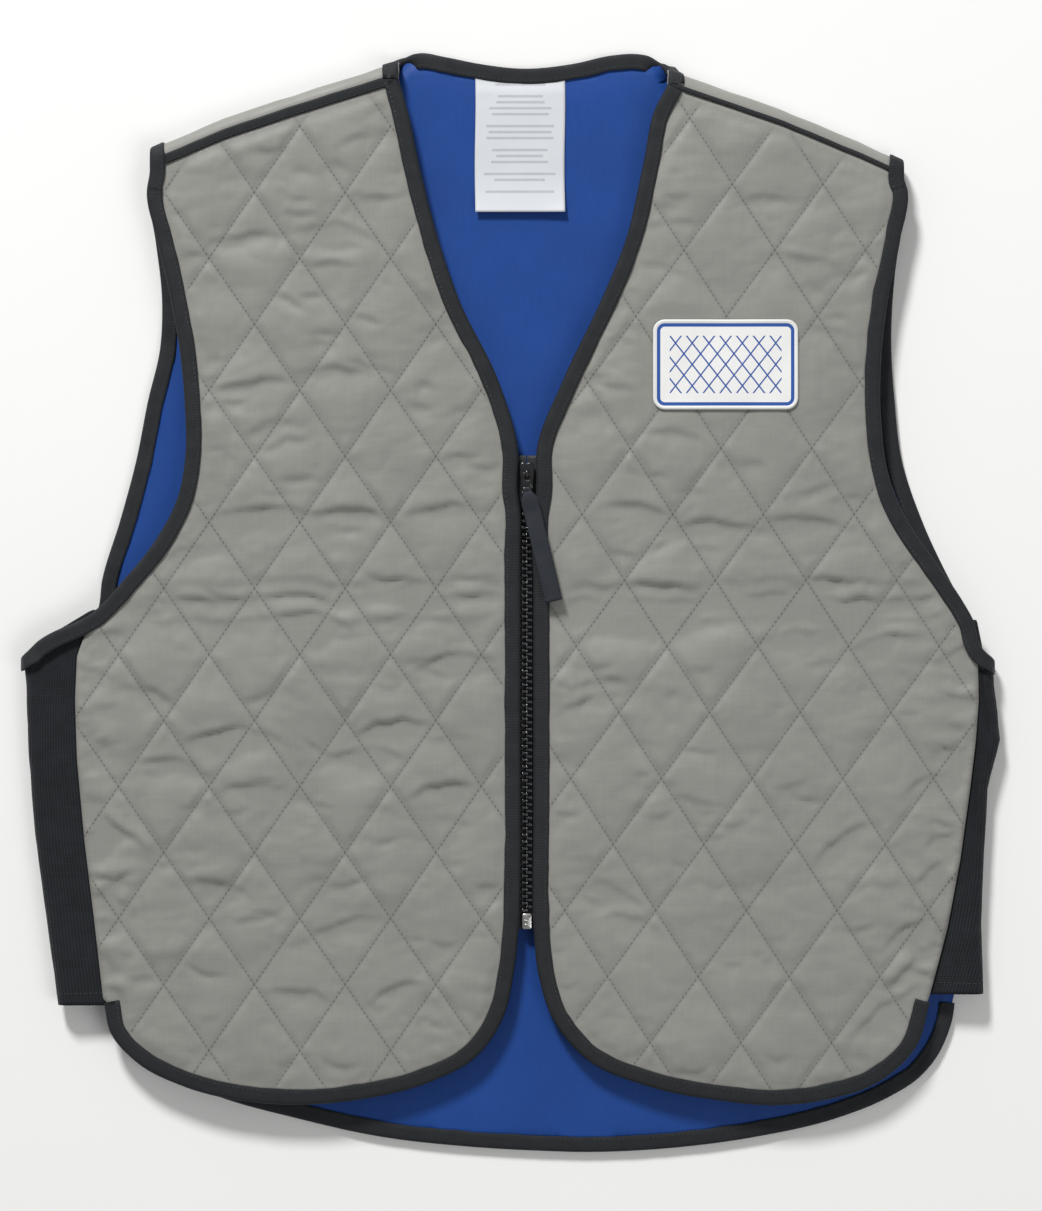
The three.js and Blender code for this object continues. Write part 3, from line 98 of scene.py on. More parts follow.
# Shoulder tapes: how far below the fold, and how wide
SHOULDER_TAPE = {"left": (7.4, 6.2), "right": (7.4, 3.0)}
NECK_EDGE = [(-0.190, 0.996), (-0.137, 0.989), (-0.069, 0.977), (0.027, 0.968), (0.127, 0.977),
             (0.205, 0.992), (0.262, 0.994)]
HEM_EDGE = [(-0.833, -0.725), (-0.829, -0.760), (-0.804, -0.798), (-0.754, -0.838), (-0.680, -0.872),
            (-0.594, -0.902), (-0.445, -0.938), (-0.271, -0.972), (-0.106, -0.989), (0.037, -0.997),
            (0.159, -1.000), (0.322, -0.993), (0.496, -0.973), (0.671, -0.937), (0.771, -0.901),
            (0.836, -0.864), (0.872, -0.826), (0.892, -0.790), (0.904, -0.756), (0.908, -0.730)]
# Side panels: height, seam to the front, seam to the back, and the fold outside
SIDE_PANEL = {
    "left": [(-0.015, 0.853, 0.853, 0.985), (-0.098, 0.888, 0.888, 1.000), (-0.178, 0.892, 0.892, 0.996),
             (-0.286, 0.888, 0.888, 0.990), (-0.431, 0.873, 0.873, 0.976), (-0.575, 0.853, 0.853, 0.954),
             (-0.730, 0.833, 0.833, 0.929)],
    "right": [(-0.033, 0.943, 0.940, 0.978), (-0.106, 0.951, 0.944, 0.984), (-0.178, 0.953, 0.947, 0.993),
              (-0.250, 0.947, 0.947, 1.000), (-0.340, 0.935, 0.940, 0.974), (-0.467, 0.915, 0.935, 0.967),
              (-0.590, 0.889, 0.922, 0.960), (-0.710, 0.853, 0.908, 0.965)],
}
SIDE_DIP = {"left": 0.083, "right": 0.070}
# The side fold's turn: share of the dip, and degrees
SIDE_TURNS = [(0.75, 90), (0.86, 67), (0.93, 45), (0.98, 22), (1.0, 0), (0.98, -22), (0.93, -45),
              (0.86, -67), (0.75, -90)]


# Small numeric helpers
def unit(v):
    v = np.asarray(v, float)
    return v / np.maximum(np.linalg.norm(v, axis=-1, keepdims=True), 1e-12)


def smooth(a, b, x):
    t = np.clip((x - a) / (b - a), 0, 1)
    return t * t * (3 - 2 * t)


def hashed(i, j, seed):
    h = (i.astype(np.int64) * 374761393 + j.astype(np.int64) * 668265263 + seed * 974634777) & 0xFFFFFFFF
    h = ((h ^ (h >> 13)) * 1274126177) & 0xFFFFFFFF
    return ((h ^ (h >> 16)) & 0xFFFF) / 32767.5 - 1


def noise(x, y, wave_x, wave_y, seed):
    u, v = np.asarray(x) / wave_x, np.asarray(y) / wave_y
    i, j = np.floor(u), np.floor(v)
    fu, fv = u - i, v - j
    fu, fv = fu * fu * (3 - 2 * fu), fv * fv * (3 - 2 * fv)
    low = hashed(i, j, seed) * (1 - fu) + hashed(i + 1, j, seed) * fu
    high = hashed(i, j + 1, seed) * (1 - fu) + hashed(i + 1, j + 1, seed) * fu
    return low * (1 - fv) + high * fv


def along_path(path):
    """How far along a path each of its points is."""
    return np.concatenate([[0], np.cumsum(np.linalg.norm(np.diff(path, axis=0), axis=1))])


def read(path, at, s):
    """A path's values at distances s, where at says how far along its points are."""
    return np.stack([np.interp(s, at, path[:, k]) for k in range(path.shape[1])], 1)


def flipped(faces):
    return [g[:, ::-1] for g in faces]


def across(share):
    return share * HALF_WIDTH


def along(share):
    return share * HALF_LENGTH


def underside(x):
    share = np.abs(np.asarray(x, float) - ZIPPER_X) / HALF_WIDTH
    return FRONT_HEIGHT + FRONT_RISE * (1 - (1 - share / CREST_SHARE) ** 2)


def middle(x):
    return underside(x) + PANEL_WALL / 2


def shoulder_at(side, x):
    rows = SHOULDER_FOLD[side]
    out = SIGN[side] * x / HALF_WIDTH
    k = int(np.clip(np.searchsorted([r[0] for r in rows], out) - 1, 0, len(rows) - 2))
    share = (out - rows[k][0]) / (rows[k + 1][0] - rows[k][0])
    top = along(rows[k][1] + share * (rows[k + 1][1] - rows[k][1]))
    radius = (float(middle(x)) - BACK_MIDDLE) / 2
    return top, top - PANEL_WALL / 2 - radius, radius


# Edges. A place is its point, the cloth's normal there, and on a fold the way into the cloth.
def resampled(places, closed=False):
    """Even stations along an edge, on a smooth curve through its places."""
    points = np.array([p for p, _, _ in places], float)
    before = np.roll(points, 1, 0) if closed else np.vstack([points[:1], points[:-1]])
    after = np.roll(points, -1, 0) if closed else np.vstack([points[1:], points[-1:]])
    course = unit(unit(points - before) + unit(after - points))
    inward = np.array([
        ruling if ruling is not None else unit(np.cross(normal, course[k]))
        for k, (_, normal, ruling) in enumerate(places)
    ])
    if closed:
        points = np.vstack([points, points[:1]])
        inward = np.vstack([inward, inward[:1]])
    length = np.linalg.norm(np.diff(points, axis=0), axis=1)
    at = np.concatenate([[0], np.cumsum(length)])
    slope = np.empty_like(points)
    chord = np.diff(points, axis=0) / length[:, None]
    weight = length / (length + np.roll(length, -1))
    slope[1:-1] = chord[:-1] * (1 - weight[:-1, None]) + chord[1:] * weight[:-1, None]
    if closed:
        share = length[-1] / (length[-1] + length[0])
        slope[0] = slope[-1] = chord[-1] * (1 - share) + chord[0] * share
    else:
        slope[0], slope[-1] = chord[0], chord[-1]
    n = max(int(round(at[-1] / STATION_STEP)), 2)
    s = np.linspace(0, at[-1], n + 1)[: n if closed else n + 1]
    k = np.clip(np.searchsorted(at, s, side="right") - 1, 0, len(length) - 1)
    h = length[k][:, None]
    t = ((s - at[k]) / length[k])[:, None]
    p = ((2 * t**3 - 3 * t**2 + 1) * points[k] + (t**3 - 2 * t**2 + t) * h * slope[k]
         + (-2 * t**3 + 3 * t**2) * points[k + 1] + (t**3 - t**2) * h * slope[k + 1])
    if closed:
        tangent = unit(np.roll(p, -1, 0) - np.roll(p, 1, 0))
    else:
        tangent = unit(np.gradient(p, axis=0))
    into = unit(inward[k] * (1 - t) + inward[k + 1] * t)
    normal = unit(np.cross(tangent, into))
    into = unit(np.cross(normal, tangent))
    return {"p": p, "t": tangent, "in": into, "n": normal, "s": s, "closed": closed}


def tape_middle(side, x):
    """The place in the middle of a shoulder tape, on the front."""
    down, width = SHOULDER_TAPE[side]
    return x, shoulder_at(side, x)[0] - down - width / 2, float(middle(x))


def roll_column(side, x, ruling):
    _, centre, radius = shoulder_at(side, x)
    places = []
    for degrees in (-90, -60, -30, 0, 30, 60, 90):
        a = math.radians(degrees)
        p = (x, centre + radius * math.cos(a), BACK_MIDDLE + radius + radius * math.sin(a))
        places.append((p, (0, math.cos(a), math.sin(a)), ruling))
    return places


def ruling_at(side, x, way):
    step = way * BINDING_WIDTH
    rise = shoulder_at(side, x + step)[0] - shoulder_at(side, x)[0]
    return unit([step, rise, 0])


def front_edge(side):
    sign = SIGN[side]
    edge = ZIPPER_X + sign * ZIPPER_GAP / 2
    places = []
    for out, up in FRONT_EDGE[side]:
        x = edge + sign * across(out)
        places.append(((x, along(up), float(middle(x))), (0, 0, -sign), None))
    x = sign * across(SHOULDER_FOLD[side][0][0])
    x, y, z = tape_middle(side, x)
    places.append(((x, y - TAPE_OVERLAP, z), (0, 0, -sign), None))
    return resampled(places)


def look_up(rows, key, column):
    ups = [r[0] for r in rows][::-1]
    return float(np.interp(key, ups, [r[column] for r in rows][::-1]))


def side_turn(side, share):
    rows = SIDE_PANEL[side]
    sign = SIGN[side]
    points = []
    for dip, degrees in SIDE_TURNS:
        top = rows[0][0] - dip * SIDE_DIP[side]
        up = top + share * (rows[-1][0] - top)
        fold = sign * (across(look_up(rows, up, 3)) - SIDE_WALL / 2)
        radius = (float(middle(fold)) - BACK_MIDDLE) / 2
        a = math.radians(degrees)
        x = fold - sign * radius + sign * radius * math.cos(a)
        points.append((x, along(up), BACK_MIDDLE + radius + radius * math.sin(a)))
    return points


def armhole_edge(side):
    sign = SIGN[side]
    places = []
    for out, up in ARMHOLE_FRONT[side]:
        x = sign * across(out)
        places.append(((x, along(up), float(middle(x))), (0, 0, -sign), None))
    for point in side_turn(side, 0)[::2]:
        places.append((point, None, np.array([0, -1.0, 0])))
    for out, up in ARMHOLE_BACK[side]:
        places.append(((sign * across(out), along(up), BACK_MIDDLE), (0, 0, sign), None))
    x = sign * across(SHOULDER_FOLD[side][-1][0])
    ruling = ruling_at(side, x, -sign)
    down, width = SHOULDER_TAPE[side]
    places += [(p, None, ruling) for p, _, _ in roll_column(side, x, ruling)]
    places.append(((x, shoulder_at(side, x)[0] - down - width, float(middle(x))), None, ruling))
    return resampled(places, closed=True)


def neck_edge():
    def end(side):
        sign = SIGN[side]
        x = sign * across(SHOULDER_FOLD[side][0][0])
        ruling = ruling_at(side, x, sign)
        column = [*roll_column(side, x, ruling)[3:], (tape_middle(side, x), None, ruling)]
        return [(p, None, r) for p, _, r in column][::-1]

    def turn(fold, neck, way):
        a, b = np.array(fold[0], float), np.array(neck[0], float)
        pull = np.linalg.norm(a - b) / 2
        c1, c2 = a + [0, 0, -pull / 2], b + [way * pull, 0, 0]
        steps = []
        for k in range(1, 5):
            t = k / 5
            p = (1 - t) ** 3 * a + 3 * (1 - t) ** 2 * t * c1 + 3 * (1 - t) * t * t * c2 + t**3 * b
            steps.append((p, None, unit(np.array(fold[2]) * (1 - t) + np.array([0, -1.0, 0]) * t)))
        return steps

    back = [((across(x), along(up), BACK_MIDDLE), (0, 0, -1), None) for x, up in NECK_EDGE]
    left, right = end("left"), end("right")
    first = turn(left[-1], back[0], -1)
    last = turn(right[-1], back[-1], 1)[::-1]
    return resampled([*left, *first, *back, *last, *right[::-1]])


CENTRE = {side: front_edge(side) for side in SIGN}
ARMHOLE = {side: armhole_edge(side) for side in SIGN}
NECK = neck_edge()
HEM = resampled([((across(x), along(up), BACK_MIDDLE), (0, 0, 1), None) for x, up in HEM_EDGE])


# Meshes
def make(name, points, faces, materials, kinds=None, uv=None, shades=None, flat=False, metres=False):
    """A mesh object from arrays: points in millimetres, faces as one array or a list of arrays."""
    groups = faces if isinstance(faces, list) else [faces]
    groups = [np.asarray(g, np.int32) for g in groups if len(g)]
    mesh = bpy.data.meshes.new(name)
    co = np.asarray(points, float) if metres else (np.asarray(points, float) + OFFSET) / 1000
    mesh.vertices.add(len(co))
    mesh.vertices.foreach_set("co", co.astype(np.float32).ravel())
    loops = np.concatenate([g.ravel() for g in groups])
    sizes = np.concatenate([np.full(len(g), g.shape[1]) for g in groups])
    mesh.loops.add(len(loops))
    mesh.loops.foreach_set("vertex_index", loops.astype(np.int32))
    mesh.polygons.add(len(sizes))
    mesh.polygons.foreach_set("loop_start", np.concatenate([[0], np.cumsum(sizes)[:-1]]).astype(np.int32))
    mesh.polygons.foreach_set("loop_total", sizes.astype(np.int32))
    if kinds is not None:
        mesh.polygons.foreach_set("material_index", np.asarray(kinds, np.int32))
    mesh.polygons.foreach_set("use_smooth", np.full(len(sizes), not flat))
    if uv is not None:
        layer = mesh.uv_layers.new(name="cloth")
        layer.data.foreach_set("uv", np.asarray(uv, np.float32)[loops].ravel())
    for key, values in (shades or {}).items():
        layer = mesh.attributes.new(key, "FLOAT", "POINT")
        layer.data.foreach_set("value", np.asarray(values, np.float32))
    for material in materials:
        mesh.materials.append(material)
    mesh.update()
    mesh.validate()
    obj = bpy.data.objects.new(name, mesh)
    bpy.context.scene.collection.objects.link(obj)
    return obj


def grid_faces(rows, columns, wrap=False):
    """Four-sided faces of a grid of points, closed across its columns or not."""
    r = np.arange(rows - 1)[:, None]
    c = np.arange(columns if wrap else columns - 1)[None, :]
    c2 = (c + 1) % columns
    a, b = r * columns + c, r * columns + c2
    return np.stack([a, b, b + columns, a + columns], -1).reshape(-1, 4)


def piece(name, points, faces, materials, slot, node=None, body="vest", **more):
    """A mesh object that rides its body, with the node it stands for. Its slot is not used."""
    obj = make(name, points, faces, materials, **more)
    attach(obj, body)
    if node:
        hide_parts(node)
    return obj


# Plan outlines of the cloths
def course(stations, inset, keep=slice(None)):
    return (stations["p"] + stations["in"] * inset)[keep, :2]


def closest(stations, sign, place, level=BACK_MIDDLE):
    """The station nearest to a place of an edge's table."""
    point = [sign * across(place[0]), along(place[1]), level]
    return int(np.argmin(np.linalg.norm(stations["p"] - point, axis=1)))


def side_line(side, column, inset):
    rows = SIDE_PANEL[side]
    ups = np.linspace(rows[0][0], rows[-1][0], 60)
    xs = [SIGN[side] * (across(look_up(rows, up, column)) - inset) for up in ups]
    return np.stack([xs, along(ups)], 1)


def shoulder_line(side, drop, count=24):
    sign = SIGN[side]
    shares = np.linspace(SHOULDER_FOLD[side][0][0], SHOULDER_FOLD[side][-1][0], count)
    return np.array([(sign * across(s), drop(sign * across(s))) for s in shares])


CLOTH_INSET = 1.7
SEAM_INSET = 0.2
TURN_LEVEL = 8.5
FRONT_ARM, BACK_ARM = {}, {}
FRONT_BOUND, FRONT_SEAM, FRONT_TOP, FRONT_OUTLINE = {}, {}, {}, {}
for side, sign in SIGN.items():
    stations, front_row, back_row = ARMHOLE[side], ARMHOLE_FRONT[side], ARMHOLE_BACK[side]
    low = closest(stations, sign, front_row[-1], float(middle(sign * across(front_row[-1][0]))))
    FRONT_ARM[side] = course(stations, CLOTH_INSET, slice(0, low + 1))
    low, high = (closest(stations, sign, back_row[k]) for k in (0, -1))
    BACK_ARM[side] = course(stations, CLOTH_INSET, slice(low, high + 1))
    centre = course(CENTRE[side], CLOTH_INSET)
    top = shoulder_line(side, lambda x: tape_middle(side, x)[1] - SEAM_INSET)
    seam = side_line(side, 1, SEAM_INSET)
    FRONT_TOP[side], FRONT_SEAM[side] = top, seam
    FRONT_BOUND[side] = [centre, FRONT_ARM[side]]
    FRONT_OUTLINE[side] = np.vstack([centre, top[1:-1], FRONT_ARM[side], seam[1:]])

hem = course(HEM, CLOTH_INSET)
low, high = (closest(NECK, 1, NECK_EDGE[k]) for k in (0, -1))
neck = course(NECK, CLOTH_INSET, slice(low, high + 1))
low_part = np.flatnonzero(NECK["p"][:, 2] < TURN_LEVEL)
neck_round = course(NECK, CLOTH_INSET, slice(low_part[0], low_part[-1] + 1))
ROLL_LINE = {side: shoulder_line(side, lambda x: shoulder_at(side, x)[1] - SEAM_INSET) for side in SIGN}
BACK_SEAM = {side: side_line(side, 2, SEAM_INSET) for side in SIGN}
BACK_OUTLINE = np.vstack([
    hem, BACK_SEAM["right"][::-1], BACK_ARM["right"], ROLL_LINE["right"][::-1], neck_round[::-1],
    ROLL_LINE["left"], BACK_ARM["left"][::-1], BACK_SEAM["left"],
])
BACK_BOUND = [hem, neck, BACK_ARM["left"], BACK_ARM["right"]]


def nearest(points, line):
    """Each point's distance to a polyline, the nearest place on it, and how far along it that is."""
    best = np.full(len(points), np.inf)
    spot = np.zeros((len(points), 2))
    run = np.zeros(len(points))
    start = 0.0
    for a, b in zip(line[:-1], line[1:]):
        d = b - a
        length = math.hypot(*d)
        if length < 1e-6:
            continue
        t = np.clip(((points - a) @ d) / length**2, 0, 1)
        q = a + t[:, None] * d
        gap = ((points - q) ** 2).sum(1)
        near = gap < best
        best[near] = gap[near]
        spot[near] = q[near]
        run[near] = start + t[near] * length
        start += length
    return np.sqrt(best), spot, run


def from_lines(points, lines):
    """Distance to the nearest of several polylines and the way along it."""
    gap, run = np.full(len(points), np.inf), np.zeros(len(points))
    for k, line in enumerate(lines):
        d, _, r = nearest(points, line)
        near = d < gap
        gap[near], run[near] = d[near], r[near] + 1000 * k
    return gap, run


def encloses(outline, points):
    """Which points lie within an outline."""
    inside = np.zeros(len(points), bool)
    x, y = points[:, 0], points[:, 1]
    for (ax, ay), (bx, by) in zip(outline, np.roll(outline, -1, 0)):
        if ay == by:
            continue
        crosses = (ay > y) != (by > y)
        inside ^= crosses & (x < ax + (y - ay) * (bx - ax) / (by - ay))
    return inside


# Quilting: a lattice of diamonds, p and q count its two families of stitch lines
CELL_SIDE = math.hypot(QUILT_HALF_WIDTH, QUILT_HALF_HEIGHT)
CELL_DEPTH = 2 * QUILT_HALF_WIDTH * QUILT_HALF_HEIGHT / CELL_SIDE


def place_of(lattice, p, q):
    cx, cy, lean = lattice
    up = (p - q) * QUILT_HALF_HEIGHT
    return cx + (p + q) * QUILT_HALF_WIDTH + lean * up, cy + up


def share_of(lattice, x, y):
    cx, cy, lean = lattice
    up = (y - cy) / QUILT_HALF_HEIGHT
    out = (x - cx - lean * (y - cy)) / QUILT_HALF_WIDTH
    return (out + up) / 2, (out - up) / 2


def quilting(lattice, x, y):
    """Distances to the nearest stitch line of each family."""
    p, q = share_of(lattice, x, y)
    return np.abs(p - np.round(p)) * CELL_DEPTH, np.abs(q - np.round(q)) * CELL_DEPTH, p, q


def lattice_corners(lattice, low, high):
    return np.array([share_of(lattice, x, y) for x in (low[0], high[0]) for y in (low[1], high[1])])


def slab(lattice, count, outline, heights):
    """A closed cloth: the lattice's grid within an outline, between a top and a bottom height."""
    low, high = outline.min(0), outline.max(0)
    corners = lattice_corners(lattice, low, high)
    first = np.floor(corners.min(0) * count).astype(int) - 1
    last = np.ceil(corners.max(0) * count).astype(int) + 1
    p, q = np.meshgrid(np.arange(first[0], last[0] + 1), np.arange(first[1], last[1] + 1), indexing="ij")
    x, y = place_of(lattice, p / count, q / count)
    flat = np.stack([x.ravel(), y.ravel()], 1)
    inside = ((flat > low) & (flat < high)).all(1)
    inside[inside] = encloses(outline, flat[inside])
    cells = grid_faces(*p.shape)
    cells = cells[inside[cells].all(1)]
    used, cells = np.unique(cells, return_inverse=True)
    cells = cells.reshape(-1, 4)
    plan = flat[used]
    n = len(plan)
    sides = np.concatenate([cells[:, [k, (k + 1) % 4]] for k in range(4)]).astype(np.int64)
    rim = sides[~np.isin(sides[:, 0] * n + sides[:, 1], sides[:, 1] * n + sides[:, 0])]
    edge = np.unique(rim)
    gap, spot, _ = nearest(plan[edge], np.vstack([outline, outline[:1]]))
    plan[edge[gap < 5]] = spot[gap < 5]
    top, bottom = heights(plan[:, 0], plan[:, 1])
    points = np.vstack([np.column_stack([plan, top]), np.column_stack([plan, bottom])])
    around = np.stack([rim[:, 0] + n, rim[:, 1] + n, rim[:, 1], rim[:, 0]], 1)
    faces = [cells, cells[:, ::-1] + n, around]
    kinds = np.repeat([0, 1, 0], [len(f) for f in faces])
    return points, faces, kinds


# Folds pressed into the fronts: place, half length, way, bend, width and depth
CREASES = {
    "left": [
        (-157, 131, 22, 6, 3, 3.0, 1.5), (-106, 138, 20, -4, 4, 2.8, 1.4), (-154, 54, 24, 4, 4, 3.4, 1.9),
        (-97, 52, 24, -3, 5, 3.2, 1.9), (-43, 56, 20, 5, 3, 3.0, 1.6), (-37, -35, 18, 8, 4, 2.8, 1.7),
        (-73, -75, 20, 10, 5, 3.0, 1.7), (-169, -80, 24, 3, 5, 3.6, 2.0), (-202, -98, 18, -12, 4, 3.0, 1.7),
        (-91, -93, 22, 7, 5, 3.2, 1.8), (-151, -113, 22, -5, 5, 3.0, 1.7), (-43, -112, 18, 12, 4, 2.8, 1.5),
        (-100, -194, 20, 16, 4, 3.0, 1.4), (-70, -233, 16, 20, 3, 2.6, 1.3),
        (-127, -235, 18, -8, 4, 2.8, 1.3),
        (-232, -139, 12, -30, 3, 2.6, 1.5), (-163, 217, 20, 8, 4, 2.8, 1.5), (-106, 222, 20, -6, 5, 3.0, 1.6),
        (-85, 241, 13, 14, 3, 2.4, 1.2), (-109, 202, 12, 4, 3, 2.2, 1.1), (-121, -10, 20, -6, 4, 2.8, 1.5),
        (-190, 30, 20, 10, 3, 2.8, 1.3), (-215, -55, 14, -20, 3, 2.6, 1.4), (-64, 8, 18, 12, 3, 2.4, 1.1),
        (-175, -170, 18, -14, 4, 2.8, 1.2), (-135, 95, 14, 14, 3, 2.2, 0.9),
    ],
    "right": [
        (77, 55, 20, -8, 4, 3.0, 1.6), (119, 45, 24, 2, 5, 3.2, 1.8), (176, 48, 24, -3, 4, 3.2, 1.7),
        (170, -21, 22, 6, 4, 3.0, 1.6), (224, -23, 22, 12, 4, 3.2, 1.7), (137, 1, 20, -4, 4, 2.6, 1.2),
        (68, -14, 20, 10, 4, 3.0, 1.6), (197, -145, 20, 38, 4, 3.0, 1.4), (65, -176, 16, -22, 3, 2.6, 1.3),
        (71, -191, 14, -12, 3, 2.4, 1.1), (251, -107, 13, 20, 3, 2.6, 1.5), (254, -161, 12, 30, 3, 2.6, 1.5),
        (236, -197, 16, 36, 3, 2.8, 1.5), (47, -59, 16, 14, 3, 2.6, 1.4), (53, -48, 14, 8, 3, 2.4, 1.2),
        (222, -246, 24, 38, 4, 3.0, 1.6), (237, -220, 20, 44, 3, 2.6, 1.4), (110, -120, 16, -8, 3, 2.4, 0.8),
        (170, 205, 20, -4, 4, 2.6, 1.0), (150, 240, 18, 6, 4, 2.4, 1.0), (96, 100, 18, -10, 3, 2.4, 1.0),
        (208, 60, 16, -8, 3, 2.4, 1.1), (185, 12, 16, 10, 3, 2.4, 1.0), (90, 10, 16, -4, 3, 2.2, 1.0),
    ],
}
# The long crease of each front: its ends, height and slope
MAIN_CREASE = {"left": (-217, -7, 3.4, 0.010), "right": (30, 262, 2.8, 0.008)}
FOLD_GAIN = 1.75
MAIN_DEPTH = 3.3
SMALL_FOLDS = 130
SEAM_FOLDS = 34


def drop(v, width):
    """A fold's fall from a sharp edge at v = 0, and its slow rise again further down."""
    fall = np.sin(0.5 * math.pi * np.clip(-v / width, 0, 1))
    rise = np.exp(-((np.maximum(-v - width, 0) / (2.6 * width)) ** 1.3))
    return -fall * rise


def fold_at(x, y, crease, seed):
    cx, cy, half, way, bend, width, depth = crease
    a = math.radians(way)
    u = (x - cx) * math.cos(a) + (y - cy) * math.sin(a)
    v = -(x - cx) * math.sin(a) + (y - cy) * math.cos(a)
    v = v - bend * (1 - (u / half) ** 2) + 1.3 * noise(u, v * 0 + seed, 8, 1, seed)
    window = np.exp(-np.abs(u / half) ** 2.6)
    taper = width * (0.5 + 1.1 * window)
    return FOLD_GAIN * depth * window * drop(v, taper)


def press(z, x, y, crease, seed, margin):
    """Adds one fold to the heights z, as far out as it reaches."""
    near = np.abs(x - crease[0]) + np.abs(y - crease[1]) < 3 * crease[2] + margin
    z[near] += fold_at(x[near], y[near], crease, seed)


def chances(k, count, seed):
    return [float(hashed(np.array([k]), np.array([n]), seed)[0]) for n in range(count)]


def valley(field, sharp):
    return -np.exp(-np.abs(field) / sharp)


def wrinkles(side, x, y):
    seed = 11 if side == "left" else 57
    z = np.zeros_like(x)
    for k, crease in enumerate(CREASES[side]):
        press(z, x, y, crease, seed + k, 12)
    start, end, base, slope = MAIN_CREASE[side]
    window = smooth(start - 8, start + 14, x) * (1 - smooth(end - 14, end + 6, x))
    for drop_down, share, wave in ((0.0, 1.0, 70), (-13.0, 0.5, 46), (10.0, 0.45, 52)):
        line = base + drop_down + slope * (x - start) + 2.6 * noise(x, x * 0 + seed, 34, 1, seed + 5)
        line = line + 1.4 * noise(x, x * 0, 11, 1, seed + 6)
        strong = share * (0.62 + 0.38 * smooth(-0.5, 0.6, noise(x, x * 0 + drop_down, wave, 1, seed + 7)))
        v = y - line
        fall_width = 3.2 + 2.6 * noise(x, x * 0 + drop_down, 27, 1, seed + 8)
        z += MAIN_DEPTH * window * strong * drop(v, np.maximum(fall_width, 1.6))
    for k in range(SMALL_FOLDS):
        a, b, c, d = chances(k, 4, seed + 40)
        cx, cy = SIGN[side] * (128 + 122 * a), 5 + 285 * b
        half = 7 + 5 * c
        crease = (cx, cy, half, 28 * d * c + 6 * a, 2 * b, 1.5 + 0.7 * d, 0.55 + 0.35 * c)
        press(z, x, y, crease, seed + k, 8)
    line = FRONT_SEAM[side]
    for k in range(SEAM_FOLDS):
        a, b, c = chances(k, 3, seed + 60)
        sx, sy = line[int((0.5 + 0.5 * a) * 57)]
        half = 9 + 4 * b
        cx = sx - SIGN[side] * (half * 0.8 + 1.5)
        crease = (cx, sy, half, SIGN[side] * 34 * c, 1.5 * b, 1.7 + 0.5 * c, 0.85 + 0.35 * b)
        press(z, x, y, crease, seed + k, 8)
    warp = 7 * noise(x, y, 31, 24, seed + 21)
    z += 0.75 * noise(x, y + warp, 46, 21, seed + 22)
    patchy = smooth(-0.25, 0.55, noise(x, y, 58, 44, seed + 23))
    z += 0.5 * patchy * valley(noise(x + warp, y + warp, 30, 11, seed + 24), 0.14)
    z += 0.35 * (1 - patchy) * valley(noise(x - warp, y, 24, 13, seed + 25), 0.12)
    tilt = x * 0.6 + y * 0.8
    z += 0.35 * patchy * valley(noise(tilt + warp, y - x * 0.4, 17, 9, seed + 26), 0.16)
    z += 0.16 * noise(x, y, 9, 5, seed + 27)
    if side == "right":
        sheen = smooth(106, 118, x) * (1 - smooth(146, 160, x))
        sheen = sheen * smooth(-285, -250, y) * (1 - smooth(-80, -55, y))
        z += sheen * (0.35 * noise(x, y, 7, 150, seed + 28) + 0.15 * noise(x, y, 3.4, 90, seed + 29))
    return z


def gathers(gap, run, reach, wave, seed):
    """Puckers that run in from a sewn edge."""
    ruck = noise(run, gap * 0.35, wave, 9, seed) + 0.5 * noise(run, gap * 0.2, wave * 0.45, 6, seed + 1)
    reach = reach * (1 + 0.5 * noise(run, run * 0, 23, 1, seed + 2))
    return ruck * np.exp(-gap / np.maximum(reach, 2))


# Cloth simulation of the fronts' top cloth, held along its stitch lines and sewn edges
BUCKLE_COUNT = 12
BUCKLE_SCALE = 0.01
BUCKLE_FRAMES = 22
BUCKLE_LIMITS = (-1.5, 6.0)
GROWTH = (1.016, 1.034)
CLOTH_SETTINGS = {
    "quality": 6, "mass": 0.25, "tension_stiffness": 25, "compression_stiffness": 25, "shear_stiffness": 8,
    "bending_stiffness": 0.08, "air_damping": 4, "vertex_group_mass": "held", "use_pressure": True,
    "uniform_pressure_force": 0.6,
}
BUCKLE = {}


